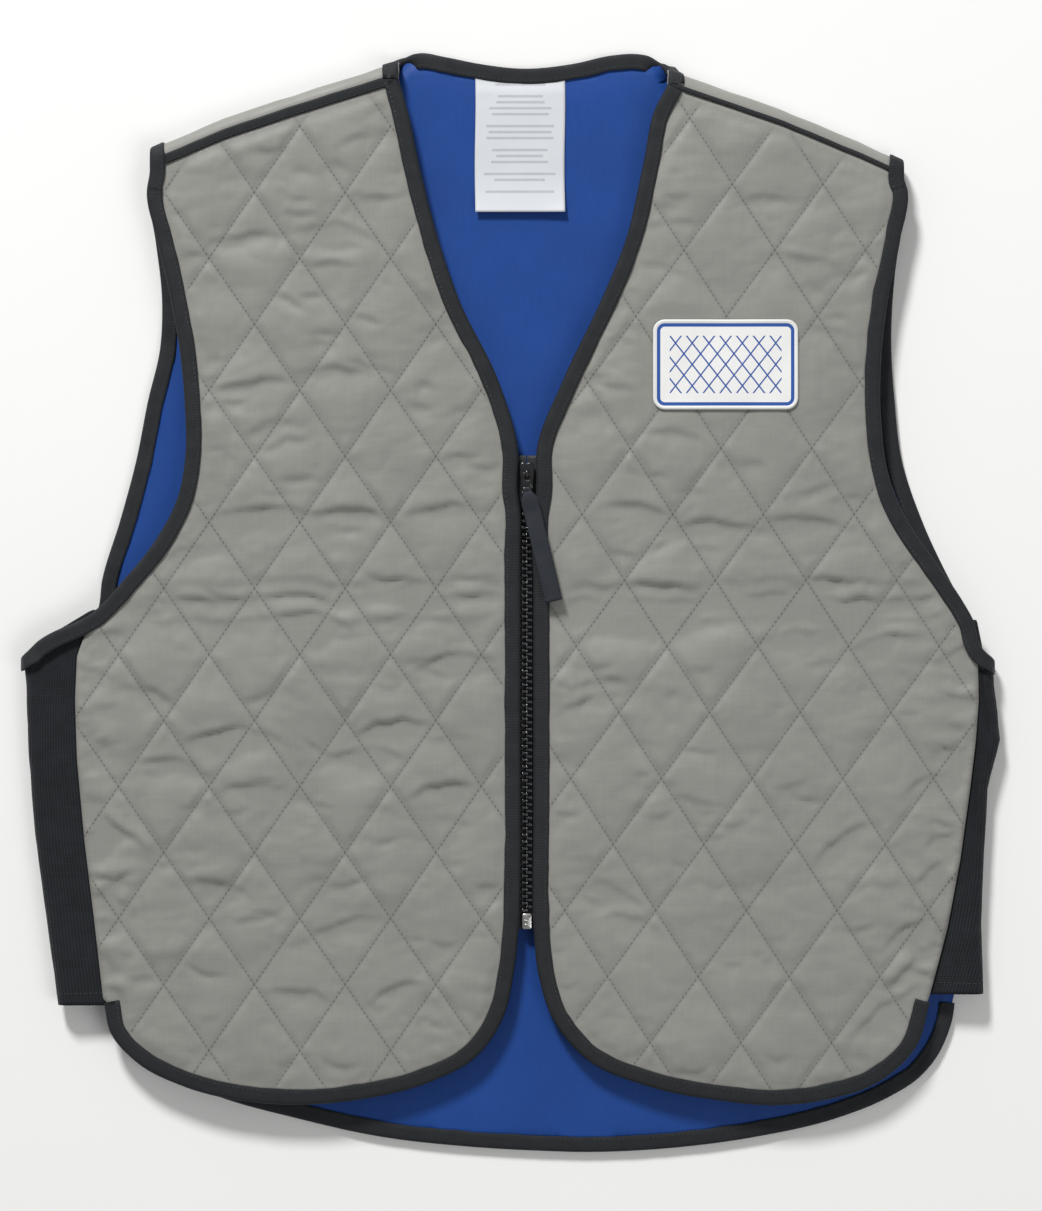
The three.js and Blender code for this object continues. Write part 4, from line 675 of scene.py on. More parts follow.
def buckled(side):
    """The top cloth, cut a little larger than the lattice that holds it: its rise on the lattice's grid."""
    lattice = CROSSING[side]
    points, faces, _ = slab(lattice, BUCKLE_COUNT, FRONT_OUTLINE[side], lambda x, y: (x * 0, x * 0 - 1))
    plan = points[: len(points) // 2]
    d1, d2, p, q = quilting(lattice, plan[:, 0], plan[:, 1])
    gap = from_lines(plan[:, :2], [*FRONT_BOUND[side], FRONT_TOP[side]])[0]
    seam_gap = nearest(plan[:, :2], FRONT_SEAM[side])[0]
    held = (np.minimum(d1, d2) < 0.8) | (gap < 7.5) | (seam_gap < 1)
    start = plan.copy()
    start[:, 2] = np.where(held, 0, 0.5 + 0.6 * noise(plan[:, 0], plan[:, 1], 26, 11, 201)
                           + 0.25 * noise(plan[:, 0], plan[:, 1], 9, 6, 202))
    cloth = make("buckle", start * BUCKLE_SCALE, faces[0], [], metres=True)
    cloth.shape_key_add(name="Basis")
    rest = cloth.shape_key_add(name="rest")
    grown = np.column_stack([plan[:, :2] * GROWTH, start[:, 2]]) * BUCKLE_SCALE
    rest.data.foreach_set("co", grown.astype(np.float32).ravel())
    rest.value = 0
    group = cloth.vertex_groups.new(name="held")
    group.add([int(k) for k in np.nonzero(held)[0]], 1.0, "REPLACE")
    modifier = cloth.modifiers.new("Cloth", "CLOTH")
    for key, value in CLOTH_SETTINGS.items():
        setattr(modifier.settings, key, value)
    modifier.settings.rest_shape_key = rest
    modifier.settings.effector_weights.gravity = 0
    modifier.collision_settings.use_collision = False
    modifier.collision_settings.use_self_collision = False
    modifier.point_cache.frame_start = 1
    modifier.point_cache.frame_end = BUCKLE_FRAMES
    scene = bpy.context.scene
    for frame_number in range(1, BUCKLE_FRAMES + 1):
        scene.frame_set(frame_number)
    done = cloth.evaluated_get(bpy.context.evaluated_depsgraph_get()).data
    co = np.empty(len(plan) * 3, np.float32)
    done.vertices.foreach_get("co", co)
    rise = np.clip(co.reshape(-1, 3)[:, 2] / BUCKLE_SCALE, *BUCKLE_LIMITS)
    mesh = cloth.data
    bpy.data.objects.remove(cloth)
    bpy.data.meshes.remove(mesh)
    scene.frame_set(1)
    i, j = np.rint(p * BUCKLE_COUNT).astype(int), np.rint(q * BUCKLE_COUNT).astype(int)
    first = np.array([i.min() - 3, j.min() - 3])
    table = np.zeros((i.max() - first[0] + 4, j.max() - first[1] + 4))
    table[i - first[0], j - first[1]] = np.where(held, 0, rise)
    return table, first


def cubic(table, u, v):
    """Smooth reading of a grid between its points."""
    u = np.clip(u, 1, table.shape[0] - 3 - 1e-6)
    v = np.clip(v, 1, table.shape[1] - 3 - 1e-6)
    i, j = np.floor(u).astype(int), np.floor(v).astype(int)
    fu, fv = u - i, v - j

    def taps(t):
        return (-0.5 * t + t * t - 0.5 * t**3, 1 - 2.5 * t * t + 1.5 * t**3,
                0.5 * t + 2 * t * t - 1.5 * t**3, -0.5 * t * t + 0.5 * t**3)

    total = 0
    for a, wa in enumerate(taps(fu)):
        for b, wb in enumerate(taps(fv)):
            total = total + wa * wb * table[i + a - 1, j + b - 1]
    return total


BUCKLE = {side: buckled(side) for side in SIGN}

# Heights of the cloths
PATCH = {"x": 128.0, "y": 142.0, "width": 87.0, "height": 54.0, "corner": 7.0}
STITCH_LEVEL = 0.25
PUFF = 2.2
SWELL = 1.0


def front_parts(side, x, y):
    """The front's top height, with the mask of its stitch grooves that paints shade on the nylon."""
    points = np.stack([x, y], 1)
    lattice = CROSSING[side]
    d1, d2, p, q = quilting(lattice, x, y)
    gap, run = from_lines(points, FRONT_BOUND[side])
    seam_gap, _, seam_run = nearest(points, FRONT_SEAM[side])
    top_gap = nearest(points, FRONT_TOP[side])[0]
    free = smooth(6.0, 15.0, gap) * smooth(0.5, 11.0, seam_gap) * smooth(2.5, 12.0, top_gap)
    pillow = (1 - np.exp(-d1 / 8.5)) * (1 - np.exp(-d2 / 8.5))
    seed = 3 if side == "left" else 8
    size = 1 + 0.14 * hashed(np.floor(p), np.floor(q), seed)
    calm = 1.0
    if side == "right":
        reach = np.maximum(np.abs(x - PATCH["x"]) - PATCH["width"] / 2,
                           np.abs(y - PATCH["y"]) - PATCH["height"] / 2)
        calm = 0.08 + 0.92 * smooth(0, 10, reach)
        calm = calm * (0.25 + 0.75 * smooth(30, 40, x + 40 * smooth(66, 80, y) + 40 * smooth(0, 14, -8 - y)))
    z = STITCH_LEVEL * free + PUFF * size * pillow * free * (0.4 + 0.6 * calm)
    if side in BUCKLE:
        table, first = BUCKLE[side]
        z = (STITCH_LEVEL + 0.3 * PUFF * size * pillow) * free
        z += SWELL * cubic(table, p * BUCKLE_COUNT - first[0], q * BUCKLE_COUNT - first[1]) * free * calm
    held = 0.3 + 0.7 * smooth(0, 5, np.minimum(d1, d2))
    z += wrinkles(side, x, y) * free * calm * held
    ruck1 = noise(q * CELL_SIDE, np.round(p) * 9 + np.sign(p - np.round(p)), 4.6, 1, seed + 31)
    ruck2 = noise(p * CELL_SIDE, np.round(q) * 9 + np.sign(q - np.round(q)), 4.6, 1, seed + 32)
    z += 0.34 * free * calm * (ruck1 * np.exp(-d1 / 3.8) * (1 - np.exp(-d1 / 1.1))
                               + ruck2 * np.exp(-d2 / 3.8) * (1 - np.exp(-d2 / 1.1)))
    z += 2.4 * gathers(gap, run, 8.0, 6.5, seed + 41) * smooth(8.0, 11.5, gap) * calm
    sewn = smooth(0.3, 3.5, seam_gap) * smooth(8, 12, gap)
    z += 1.9 * gathers(seam_gap, seam_run, 16, 8.5, seed + 44) * sewn
    # Mask of the stitch grooves: it presses a small notch here and is painted as shade on the nylon.
    seam = np.exp(-((np.minimum(d1, d2) / 1.1) ** 2))
    z -= 0.30 * seam * free
    return underside(x) + PANEL_WALL + np.maximum(z, -0.5), seam


def front_top(side, x, y):
    return front_parts(side, x, y)[0]


def back_heights(x, y):
    d1, d2, _, _ = quilting(CROSSING["back"], x, y)
    free = smooth(6.0, 14.0, from_lines(np.stack([x, y], 1), BACK_BOUND)[0])
    pillow = (1 - np.exp(-d1 / 4.5)) * (1 - np.exp(-d2 / 4.5))
    ruck = 0.25 * noise(x, y, 7, 6, 71) * np.exp(-np.minimum(d1, d2) / 5)
    inner = np.maximum(1.4 - 2.3 * pillow + ruck, 0)
    bottom = 1.05 * (1 - free) + inner * free
    return 2.35 + 0.5 * pillow * free, bottom


def lining_heights(x, y):
    gap, run = from_lines(np.stack([x, y], 1), BACK_BOUND)
    free = smooth(8.0, 17.0, gap)
    soft = 0.16 * noise(x, y, 60, 38, 91) + 0.08 * noise(x, y, 21, 17, 92)
    soft = soft + 0.3 * gathers(gap, run, 9, 9, 93) * smooth(9.5, 12.5, gap)
    bottom = 2.5 + 0.55 * free
    return bottom + 0.75 + (0.25 + soft) * free, bottom


# Swept trims
def between(stations, s):
    """Stations' point, way in and normal at distances along the edge, and the edge's length."""
    at = stations["s"]
    lines = [stations[key] for key in ("p", "in", "n")]
    if stations["closed"]:
        at = np.append(at, at[-1] + np.linalg.norm(lines[0][0] - lines[0][-1]))
        lines = [np.vstack([line, line[:1]]) for line in lines]
    p, into, normal = (read(line, at, s) for line in lines)
    return p, unit(into), unit(normal), at[-1]


# Section of a binding, folded over the edge: how far in, and how far out of the cloth's middle
LIP = BINDING_WIDTH
RIBBON = np.array([
    (LIP, 1.95), (LIP - 0.25, 2.25), (LIP - 1.6, 2.32), (6.4, 2.3), (4.2, 2.3), (2.2, 2.25), (1.0, 1.95),
    (0.3, 1.25), (0.0, 0.45), (0.0, -0.45), (0.3, -1.25), (1.0, -1.95), (2.2, -2.25), (4.2, -2.3),
    (6.4, -2.3), (LIP - 1.6, -2.32), (LIP - 0.25, -2.25), (LIP, -1.95), (LIP - 0.1, -1.35), (4.0, -1.3),
    (1.6, -1.2), (1.05, -0.6), (1.05, 0.6), (1.6, 1.2), (4.0, 1.3), (LIP - 0.1, 1.35),
])
BINDING_FACE = 2.28
STITCH_INSET = 7.6
STITCH_PITCH = 3.0
STITCH_SIZE = (0.45, 0.36)


def closing_faces(rows, columns):
    """Faces from the last ring of a grid back to its first."""
    c = np.arange(columns)
    c2 = (c + 1) % columns
    last = (rows - 1) * columns
    return np.stack([last + c, last + c2, c2, c], 1)


def binding_mesh(stations, seed, low_edge):
    s = stations["s"]
    depth, level = RIBBON.T
    wave = 0.28 * noise(s, s * 0, 11, 1, seed) + 0.12 * noise(s, s * 0, 4, 1, seed + 1)
    swell = 0.10 * noise(s, s * 0, 3.1, 1, seed + 2) + 0.12 * noise(s, s * 0, 14, 1, seed + 3)
    into = depth + wave[:, None] * (depth / LIP) ** 2
    outer = np.sign(level) * (np.abs(level) > 1.6) * np.where(level < 0, low_edge, 1)
    out = level + swell[:, None] * outer
    points = (stations["p"][:, None] + into[..., None] * stations["in"][:, None]
              + out[..., None] * stations["n"][:, None])
    count, columns = points.shape[:2]
    faces = [grid_faces(count, columns, wrap=True)]
    if stations["closed"]:
        faces.append(closing_faces(count, columns))
    else:
        k = np.arange(columns // 2 - 1)
        strips = np.stack([k, k + 1, columns - k - 2, columns - k - 1], 1)
        faces += [strips[:, ::-1], strips + (count - 1) * columns]
    uv = np.stack(np.broadcast_arrays(s[:, None], along_path(RIBBON)[None]), -1).reshape(-1, 2) / 1000
    return points.reshape(-1, 3), faces, uv


def beads(centres, ways, ups, length, width, height):
    """Short rounded stitches, one small closed bead for each centre."""
    ways, ups = unit(ways), unit(ups)
    sides = unit(np.cross(ups, ways))
    ring = [sides * width / 2, ups * height / 2, -sides * width / 2, -ups * height / 2]
    parts = [centres - ways * length / 2]
    parts += [centres + ways * length * share + r for share in (-0.3, 0.3) for r in ring]
    parts.append(centres + ways * length / 2)
    points = np.stack(parts, 1)
    start = (np.arange(len(centres)) * len(parts))[:, None, None]
    turns = [(k, (k + 1) % 4) for k in range(4)]
    ends = [[0, 1 + b, 1 + a] for a, b in turns] + [[9, 5 + a, 5 + b] for a, b in turns]
    walls = [[1 + a, 1 + b, 5 + b, 5 + a] for a, b in turns]
    faces = [(np.array(ends) + start).reshape(-1, 3), (np.array(walls) + start).reshape(-1, 4)]
    return points.reshape(-1, 3), faces


def row_beads(row, ups, start, stop, lift, length, size=STITCH_SIZE):
    """Stitches along a row of points."""
    at = along_path(row)
    s = np.arange(start, at[-1] - stop, STITCH_PITCH)
    places, ahead, up = read(row, at, s), read(row, at, s + 0.5), unit(read(ups, at, s))
    return beads(places + up * lift, ahead - places, up, length, *size)


def merged(parts):
    """Joins lists of (points, faces) into one."""
    points, faces, base = [], [], 0
    for p, groups in parts:
        faces += [np.asarray(g) + base for g in groups if len(g)]
        points.append(np.asarray(p).reshape(-1, 3))
        base += len(points[-1])
    return np.vstack(points), faces


def trim_stitches(stations, inset, sides):
    total = between(stations, np.array([0.0]))[3]
    s = np.arange(STITCH_PITCH / 2, total - STITCH_PITCH / 3, STITCH_PITCH)
    p, into, normal, _ = between(stations, s)
    ways = unit(between(stations, np.minimum(s + 0.5, total))[0] - p + 1e-9)
    sewn = [beads(p + into * inset + normal * way * BINDING_FACE, ways, normal * way, STITCH_PITCH * 0.72,
                  *STITCH_SIZE) for way in sides]
    return merged(sewn)


def thick_sheet(grid, normals, thickness, uv=None):
    """A closed thin sheet about a grid of points. Its normals say which side is the outer one."""
    rows, columns = grid.shape[:2]
    top = (grid + normals * thickness / 2).reshape(-1, 3)
    low = (grid - normals * thickness / 2).reshape(-1, 3)
    n = len(top)
    cells = grid_faces(rows, columns)
    index = np.arange(n).reshape(rows, columns)
    rim = np.concatenate([index[0, :], index[1:, -1], index[-1, -2::-1], index[-2:0:-1, 0]])
    after = np.roll(rim, -1)
    faces = [cells, cells[:, ::-1] + n, np.stack([rim + n, after + n, after, rim], 1)]
    if np.cross(grid[1, 0] - grid[0, 0], grid[0, 1] - grid[0, 0]) @ normals[0, 0] > 0:
        faces = flipped(faces)
    return np.vstack([top, low]), faces, None if uv is None else np.vstack([uv.reshape(-1, 2)] * 2)


def sheet_normals(grid, outward):
    """Normals of a grid of points, turned to the outward side."""
    n = unit(np.cross(np.gradient(grid, axis=1), np.gradient(grid, axis=0)))
    return n * np.sign(n @ np.asarray(outward, float))[..., None]


# Materials
NOISE_RANGE = (0.3, 0.7)


class Shader:
    """A small helper round one material's nodes. Its places are the piece's own, in metres."""

    def __init__(self, name, colour, roughness, metallic=0.0, sheen=0.0, coat=0.0, specular=0.5):
        self.material = bpy.data.materials.new(name)
        self.material.use_nodes = True
        self.tree = self.material.node_tree
        self.tree.nodes.clear()
        self.shader = self.tree.nodes.new("ShaderNodeBsdfPrincipled")
        out = self.tree.nodes.new("ShaderNodeOutputMaterial")
        self.tree.links.new(self.shader.outputs[0], out.inputs["Surface"])
        values = {"Base Color": (*colour, 1), "Roughness": roughness, "Metallic": metallic,
                  "Specular IOR Level": specular}
        if sheen:
            values.update({"Sheen Weight": sheen, "Sheen Roughness": 0.4})
        if coat:
            values.update({"Coat Weight": coat, "Coat Roughness": 0.15})
        for key, value in values.items():
            self.shader.inputs[key].default_value = value
        self.colour = colour
        self.place = self.node("ShaderNodeTexCoord").outputs["Object"]
        self.uv = self.node("ShaderNodeUVMap", uv_map="cloth").outputs[0]

    def node(self, kind, inputs=(), **settings):
        n = self.tree.nodes.new(kind)
        for key, value in settings.items():
            setattr(n, key, value)
        for key, value in dict(inputs).items():
            if isinstance(value, bpy.types.NodeSocket):
                self.tree.links.new(value, n.inputs[key])
            else:
                n.inputs[key].default_value = value
        return n

    def math(self, operation, a, b=0.0):
        return self.node("ShaderNodeMath", {0: a, 1: b}, operation=operation).outputs[0]

    def product(self, first, *others):
        for value in others:
            first = self.math("MULTIPLY", first, value)
        return first

    def noise(self, scale, detail=2.0, stretch=(1, 1, 1), rough=0.5):
        at = self.node("ShaderNodeMapping", {"Vector": self.place, "Scale": stretch}).outputs[0]
        return self.node("ShaderNodeTexNoise", {"Vector": at, "Scale": scale, "Detail": detail,
                                                "Roughness": rough}).outputs["Fac"]

    def spread(self, low, high, *noise):
        """Noise over the surface, from low to high."""
        return self.between(low, high, self.noise(*noise), NOISE_RANGE)

    def bands(self, period, direction="X", vector=None, turn=0.0):
        at = vector or self.place
        if turn:
            at = self.node("ShaderNodeMapping", {"Vector": at, "Rotation": (0, 0, turn)}).outputs[0]
        return self.node("ShaderNodeTexWave", {"Vector": at, "Scale": 2 * math.pi / (20 * period),
                                               "Distortion": 0.0}, wave_type="BANDS",
                         bands_direction=direction).outputs["Fac"]

    def between(self, low, high, factor, source=(0.0, 1.0)):
        return self.node("ShaderNodeMapRange", {"Value": factor, "From Min": source[0], "From Max": source[1],
                                                "To Min": low, "To Max": high}).outputs[0]

    def mix(self, factor, a, b):
        n = self.node("ShaderNodeMix", data_type="RGBA")
        for socket, value in ((n.inputs[0], factor), (n.inputs[6], a), (n.inputs[7], b)):
            if isinstance(value, bpy.types.NodeSocket):
                self.tree.links.new(value, socket)
            else:
                socket.default_value = (*value[:3], 1)
        return n.outputs[2]

    def bump(self, height, distance, strength):
        before = self.shader.inputs["Normal"]
        n = self.node("ShaderNodeBump", {"Height": height, "Distance": distance, "Strength": strength})
        if before.is_linked:
            self.tree.links.new(before.links[0].from_socket, n.inputs["Normal"])
        self.tree.links.new(n.outputs[0], before)

    def weave(self, depth, period):
        self.bump(self.math("MULTIPLY", self.bands(period, "X"), self.bands(period, "Y")), depth, 0.6)

    def tint(self, tone, colour=None):
        """The colour times a factor that varies over the surface."""
        n = self.node("ShaderNodeVectorMath", {0: tuple(colour or self.colour), 3: tone}, operation="SCALE")
        self.paint("Base Color", n.outputs[0])

    def paint(self, socket, value):
        self.tree.links.new(value, self.shader.inputs[socket])


GREY = (0.262, 0.260, 0.240)
BLUE = (0.0125, 0.0600, 0.2700)
BLACK = (0.0150, 0.0175, 0.0205)
KNIT_BLACK = (0.0140, 0.0165, 0.0200)
WHITE = (0.84, 0.84, 0.82)
LABEL_WHITE = (0.66, 0.68, 0.71)
LABEL_GREY = (0.12, 0.13, 0.16)
TWILL = [(0.86, 0.86, 0.85), (0.62, 0.62, 0.62)]
BORDER_BLUE = (0.018, 0.085, 0.36)
PAPER = (0.93, 0.93, 0.92)


def nylon(name):
    s = Shader(name, GREY, 0.54, sheen=0.12, specular=0.42)
    slub = s.spread(0.975, 1.025, 900, 2, (0.05, 1, 1))
    warp = s.spread(0.98, 1.02, 700, 2, (1, 0.04, 1))
    # Painted shade: the groove mask darkens the nylon by up to 14 % along the quilting's stitch lines.
    seam = s.node("ShaderNodeAttribute", attribute_name="seam").outputs["Fac"]
    s.tint(s.product(s.spread(0.955, 1.045, 26, 3), slub, warp, s.between(1.0, 0.86, seam)))
    s.paint("Roughness", s.spread(0.48, 0.62, 60, 2))
    s.weave(0.00004, 0.00042)
    s.bump(s.noise(420, 3, (1, 1, 1), 0.6), 0.00010, 0.35)
    return s.material


def lining(name):
    s = Shader(name, BLUE, 0.62, sheen=0.04, specular=0.2)
    s.tint(s.product(s.spread(0.93, 1.07, 18, 2), s.spread(0.96, 1.04, 800, 2, (1, 0.1, 1))))
    s.paint("Roughness", s.spread(0.50, 0.62, 90))
    s.weave(0.00005, 0.00055)
    return s.material


def ribbon(name, colour):
    """Woven tape with fine ribs across it."""
    s = Shader(name, colour, 0.76, sheen=0.05, specular=0.28)
    ribs = s.bands(0.00095, "X", s.uv)
    yarn = s.bands(0.0007, "Y", s.uv)
    s.tint(s.product(s.between(0.80, 1.18, ribs), s.spread(0.86, 1.14, 240, 3)))
    s.paint("Roughness", s.spread(0.62, 0.80, 120))
    s.bump(s.product(ribs, s.between(0.7, 1.0, yarn)), 0.00012, 0.8)
    return s.material


def knit(name):
    s = Shader(name, BLACK, 0.84, sheen=0.05, specular=0.25)
    ribs = s.bands(0.0019, "X", s.uv)
    loops = s.bands(0.0014, "Y", s.uv)
    s.tint(s.product(s.between(0.62, 1.22, ribs), s.between(0.88, 1.12, loops), s.spread(0.86, 1.16, 70, 3)),
           KNIT_BLACK)
    s.paint("Roughness", s.spread(0.72, 0.88, 200))
    s.bump(s.math("ADD", ribs, s.product(loops, 0.35)), 0.00035, 0.9)
    return s.material


def zipper_cloth(name):
    s = Shader(name, (0.016, 0.018, 0.021), 0.68, sheen=0.2)
    twill = s.math("MAXIMUM", s.bands(0.0012, turn=0.7), s.bands(0.0012, turn=-0.7))
    s.tint(s.between(0.82, 1.2, twill))
    s.paint("Roughness", s.spread(0.60, 0.76, 180))
    s.bump(twill, 0.00010, 0.7)
    return s.material


def hard(name, colour, rough, metallic=0.0, coat=0.0, grain=900):
    s = Shader(name, colour, rough, metallic, coat=coat)
    s.tint(s.spread(0.88, 1.12, grain * 0.4, 2))
    s.paint("Roughness", s.spread(rough * 0.75, rough * 1.35, grain, 3))
    s.bump(s.noise(grain * 2, 2), 0.00002, 0.4)
    return s.material


def thread(name, colour):
    s = Shader(name, colour, 0.55, sheen=0.2)
    twist = s.bands(0.00035, "DIAGONAL")
    s.tint(s.between(0.82, 1.15, twist))
    s.paint("Roughness", s.spread(0.48, 0.66, 500))
    s.bump(twist, 0.00005, 0.6)
    return s.material


def label_cloth(name):
    """White satin with plain grey rules of uneven length."""
    s = Shader(name, LABEL_WHITE, 0.50, sheen=0.05)
    split = s.node("ShaderNodeSeparateXYZ", {0: s.uv})
    u, v = split.outputs[0], split.outputs[1]
    rows = s.math("DIVIDE", v, 0.0036)
    place = s.node("ShaderNodeCombineXYZ", {0: s.math("FLOOR", rows), 1: 3.7}).outputs[0]
    chance = s.node("ShaderNodeTexWhiteNoise", {"Vector": place}, noise_dimensions="3D").outputs["Value"]
    line = s.math("LESS_THAN", s.math("FRACT", rows), 0.42)
    within = s.math("LESS_THAN", s.math("ABSOLUTE", u), s.between(0.0120, 0.0225, chance))
    low, high = s.math("GREATER_THAN", v, 0.0070), s.math("LESS_THAN", v, 0.0740)
    kept = s.math("GREATER_THAN", chance, 0.14)
    ink = s.product(line, within, low, high, kept, s.spread(0.24, 0.42, 1500, 2))
    s.paint("Base Color", s.mix(ink, LABEL_WHITE, LABEL_GREY))
    s.paint("Roughness", s.spread(0.34, 0.5, 150))
    s.weave(0.00003, 0.00035)
    return s.material


def patch_cloth(name):
    """White twill with a small blue lattice of lozenges inside a plain margin."""
    s = Shader(name, WHITE, 0.6, sheen=0.2)
    split = s.node("ShaderNodeSeparateXYZ", {0: s.uv})
    u, v = split.outputs[0], split.outputs[1]
    out, up = s.math("DIVIDE", u, 0.0100), s.math("DIVIDE", v, 0.0128)
    one, two = (s.math("PINGPONG", s.math(way, out, up), 0.5) for way in ("ADD", "SUBTRACT"))
    lattice = s.math("LESS_THAN", s.math("MINIMUM", one, two), 0.055)
    mask = s.product(lattice, s.math("LESS_THAN", s.math("ABSOLUTE", u), 0.0335),
                     s.math("LESS_THAN", s.math("ABSOLUTE", v), 0.0172))
    twill = s.bands(0.0007, "X", s.uv, turn=0.8)
    s.paint("Base Color", s.mix(mask, s.mix(s.between(0.0, 0.10, twill), *TWILL), BORDER_BLUE))
    s.paint("Roughness", s.spread(0.52, 0.68, 300))
    s.bump(twill, 0.00008, 0.6)
    s.bump(mask, 0.00018, 0.7)
    return s.material


def floor_paper(name):
    s = Shader(name, PAPER, 0.9)
    s.tint(s.spread(0.992, 1.008, 3, 2))
    return s.material


SHELL = nylon("shell_nylon")
BACK_SHELL = nylon("back_nylon")
UNDER = lining("under_lining")
LINING = lining("body_lining")
TAPE = ribbon("binding_tape", BLACK)
KNIT = knit("side_knit")
ZIP_CLOTH = zipper_cloth("zipper_cloth")
TEETH = hard("teeth_plastic", (0.018, 0.019, 0.021), 0.17, coat=0.8, grain=1400)
ENAMEL = hard("slider_enamel", (0.022, 0.023, 0.025), 0.28, 0.55, coat=0.4)
STEEL = hard("stop_steel", (0.52, 0.52, 0.50), 0.26, 1.0)
FOB = ribbon("fob_tape", (0.0190, 0.0225, 0.0300))
GREY_THREAD = thread("grey_thread", (0.135, 0.134, 0.126))
BLACK_THREAD = thread("black_thread", (0.020, 0.022, 0.025))
BLUE_THREAD = thread("blue_thread", BORDER_BLUE)
WHITE_THREAD = thread("white_thread", (0.80, 0.80, 0.78))
LABEL_CLOTH = label_cloth("label_satin")
PATCH_CLOTH = patch_cloth("patch_twill")


# Quilted fronts. Each count is of grid steps along a diamond's side
FRONT_COUNT, BACK_COUNT, LINING_COUNT = 24, 16, 9
FRONT_STITCH, BACK_STITCH = 3.0, 3.6


def quilt_stitches(lattice, outline, lines, pitch, heights, outward, reach=9.0):
    """Stitches along the lattice's lines, kept off the sewn edges."""
    corners = lattice_corners(lattice, outline.min(0), outline.max(0))
    first, last = np.floor(corners.min(0)), np.ceil(corners.max(0))
    centres, ways = [], []
    for family in (0, 1):
        for k in np.arange(first[family], last[family] + 1):
            run = np.arange(first[1 - family], last[1 - family], pitch / CELL_SIDE)
            p, q = (np.full_like(run, k), run) if family == 0 else (run, np.full_like(run, k))
            place = np.stack(place_of(lattice, p, q), 1)
            ahead = np.stack(place_of(lattice, p + (family == 1) * 0.01, q + (family == 0) * 0.01), 1)
            centres.append(place)
            ways.append(ahead - place)
    centres, ways = np.vstack(centres), np.vstack(ways)
    kept = encloses(outline, centres)
    kept[kept] = from_lines(centres[kept], lines)[0] > reach
    centres, ways = centres[kept], unit(ways[kept])
    z = heights(*centres.T)
    way = np.column_stack([ways, heights(*(centres + ways).T) - z])
    up = np.tile([0.0, 0.0, outward], (len(z), 1))
    return beads(np.column_stack([centres, z + 0.12 * outward]), way, up, pitch * 0.62, 0.50, 0.36)


for side in SIGN:
    shades = []

    def heights(x, y):
        top, seam = front_parts(side, x, y)
        # Painted shade: the top cloth carries the stitch groove mask, the underside none.
        shades.extend([seam, seam * 0])
        soft = 0.25 * noise(x, y, 30, 22, 17)
        gap = from_lines(np.stack([x, y], 1), FRONT_BOUND[side])[0]
        return top, underside(x) + 0.05 + (0.3 + soft) * smooth(9, 15, gap)

    points, faces, kinds = slab(CROSSING[side], FRONT_COUNT, FRONT_OUTLINE[side], heights)
    front = piece(f"front_quilt_{side}", points, faces, [SHELL, UNDER], "shell", f"front_panel_{side}",
                  kinds=kinds, shades={"seam": np.concatenate(shades)})
    edges = [*FRONT_BOUND[side], FRONT_TOP[side]]
    sewn = quilt_stitches(CROSSING[side], FRONT_OUTLINE[side], edges, FRONT_STITCH,
                          lambda x, y: front_top(side, x, y), 1)
    piece(f"front_stitches_{side}", *sewn, [GREY_THREAD], "shell")

# Back panel, with the two rolls that come over the shoulders
points, faces, kinds = slab(CROSSING["back"], BACK_COUNT, BACK_OUTLINE, back_heights)
d1, d2, _, _ = quilting(CROSSING["back"], points[:, 0], points[:, 1])
# Painted shade: a mask of the stitch grooves darkens the back's grey nylon along its stitch lines; the
# shoulder rolls get none.
parts, shades = [(points, faces)], [np.exp(-np.minimum(d1, d2))]
for side in SIGN:
    down, width = SHOULDER_TAPE[side]
    grid, normals = [], []
    for x in shoulder_line(side, lambda x: 0.0, 70)[:, 0]:
        top, centre, radius = shoulder_at(side, x)
        ripple = 0.35 * float(noise(np.array([x]), np.array([0.0]), 13, 1, 61)[0])
        path, way = [(x, centre - 5.0, BACK_MIDDLE - 0.5)], [(0, 0, -1)]
        for a in np.radians(np.linspace(-90, 90, 22)):
            r = radius + ripple * math.cos(a)
            path.append((x, centre + r * math.cos(a), BACK_MIDDLE + radius + radius * math.sin(a)))
            way.append((0, math.cos(a), math.sin(a)))
        end = top - down - width / 2 - 0.1
        for t in (0.33, 0.66, 1.0):
            path.append((x, centre + (end - centre) * t, float(middle(x)) + 0.1 * math.sin(3 * t)))
            way.append((0, 0, 1))
        grid.append(path)
        normals.append(way)
    p, f, _ = thick_sheet(np.array(grid), unit(np.array(normals)), PANEL_WALL)
    parts.append((p, f))
    shades.append(np.zeros(len(p)))
points, faces = merged(parts)
kinds = np.concatenate([kinds, np.ones(sum(map(len, faces)) - len(kinds))])
back = piece("back_quilt", points, faces, [UNDER, BACK_SHELL], "shell", "back_panel", kinds=kinds,
             shades={"seam": np.concatenate(shades)})
sewn = quilt_stitches(CROSSING["back"], BACK_OUTLINE, BACK_BOUND, BACK_STITCH,
                      lambda x, y: back_heights(x, y)[1], -1)
piece("back_stitches", *sewn, [GREY_THREAD], "shell")

# Lining
points, faces, _ = slab(CROSSING["back"], LINING_COUNT, BACK_OUTLINE, lining_heights)
inner = piece("back_lining_cloth", points, faces, [LINING], "lining", "back_lining")

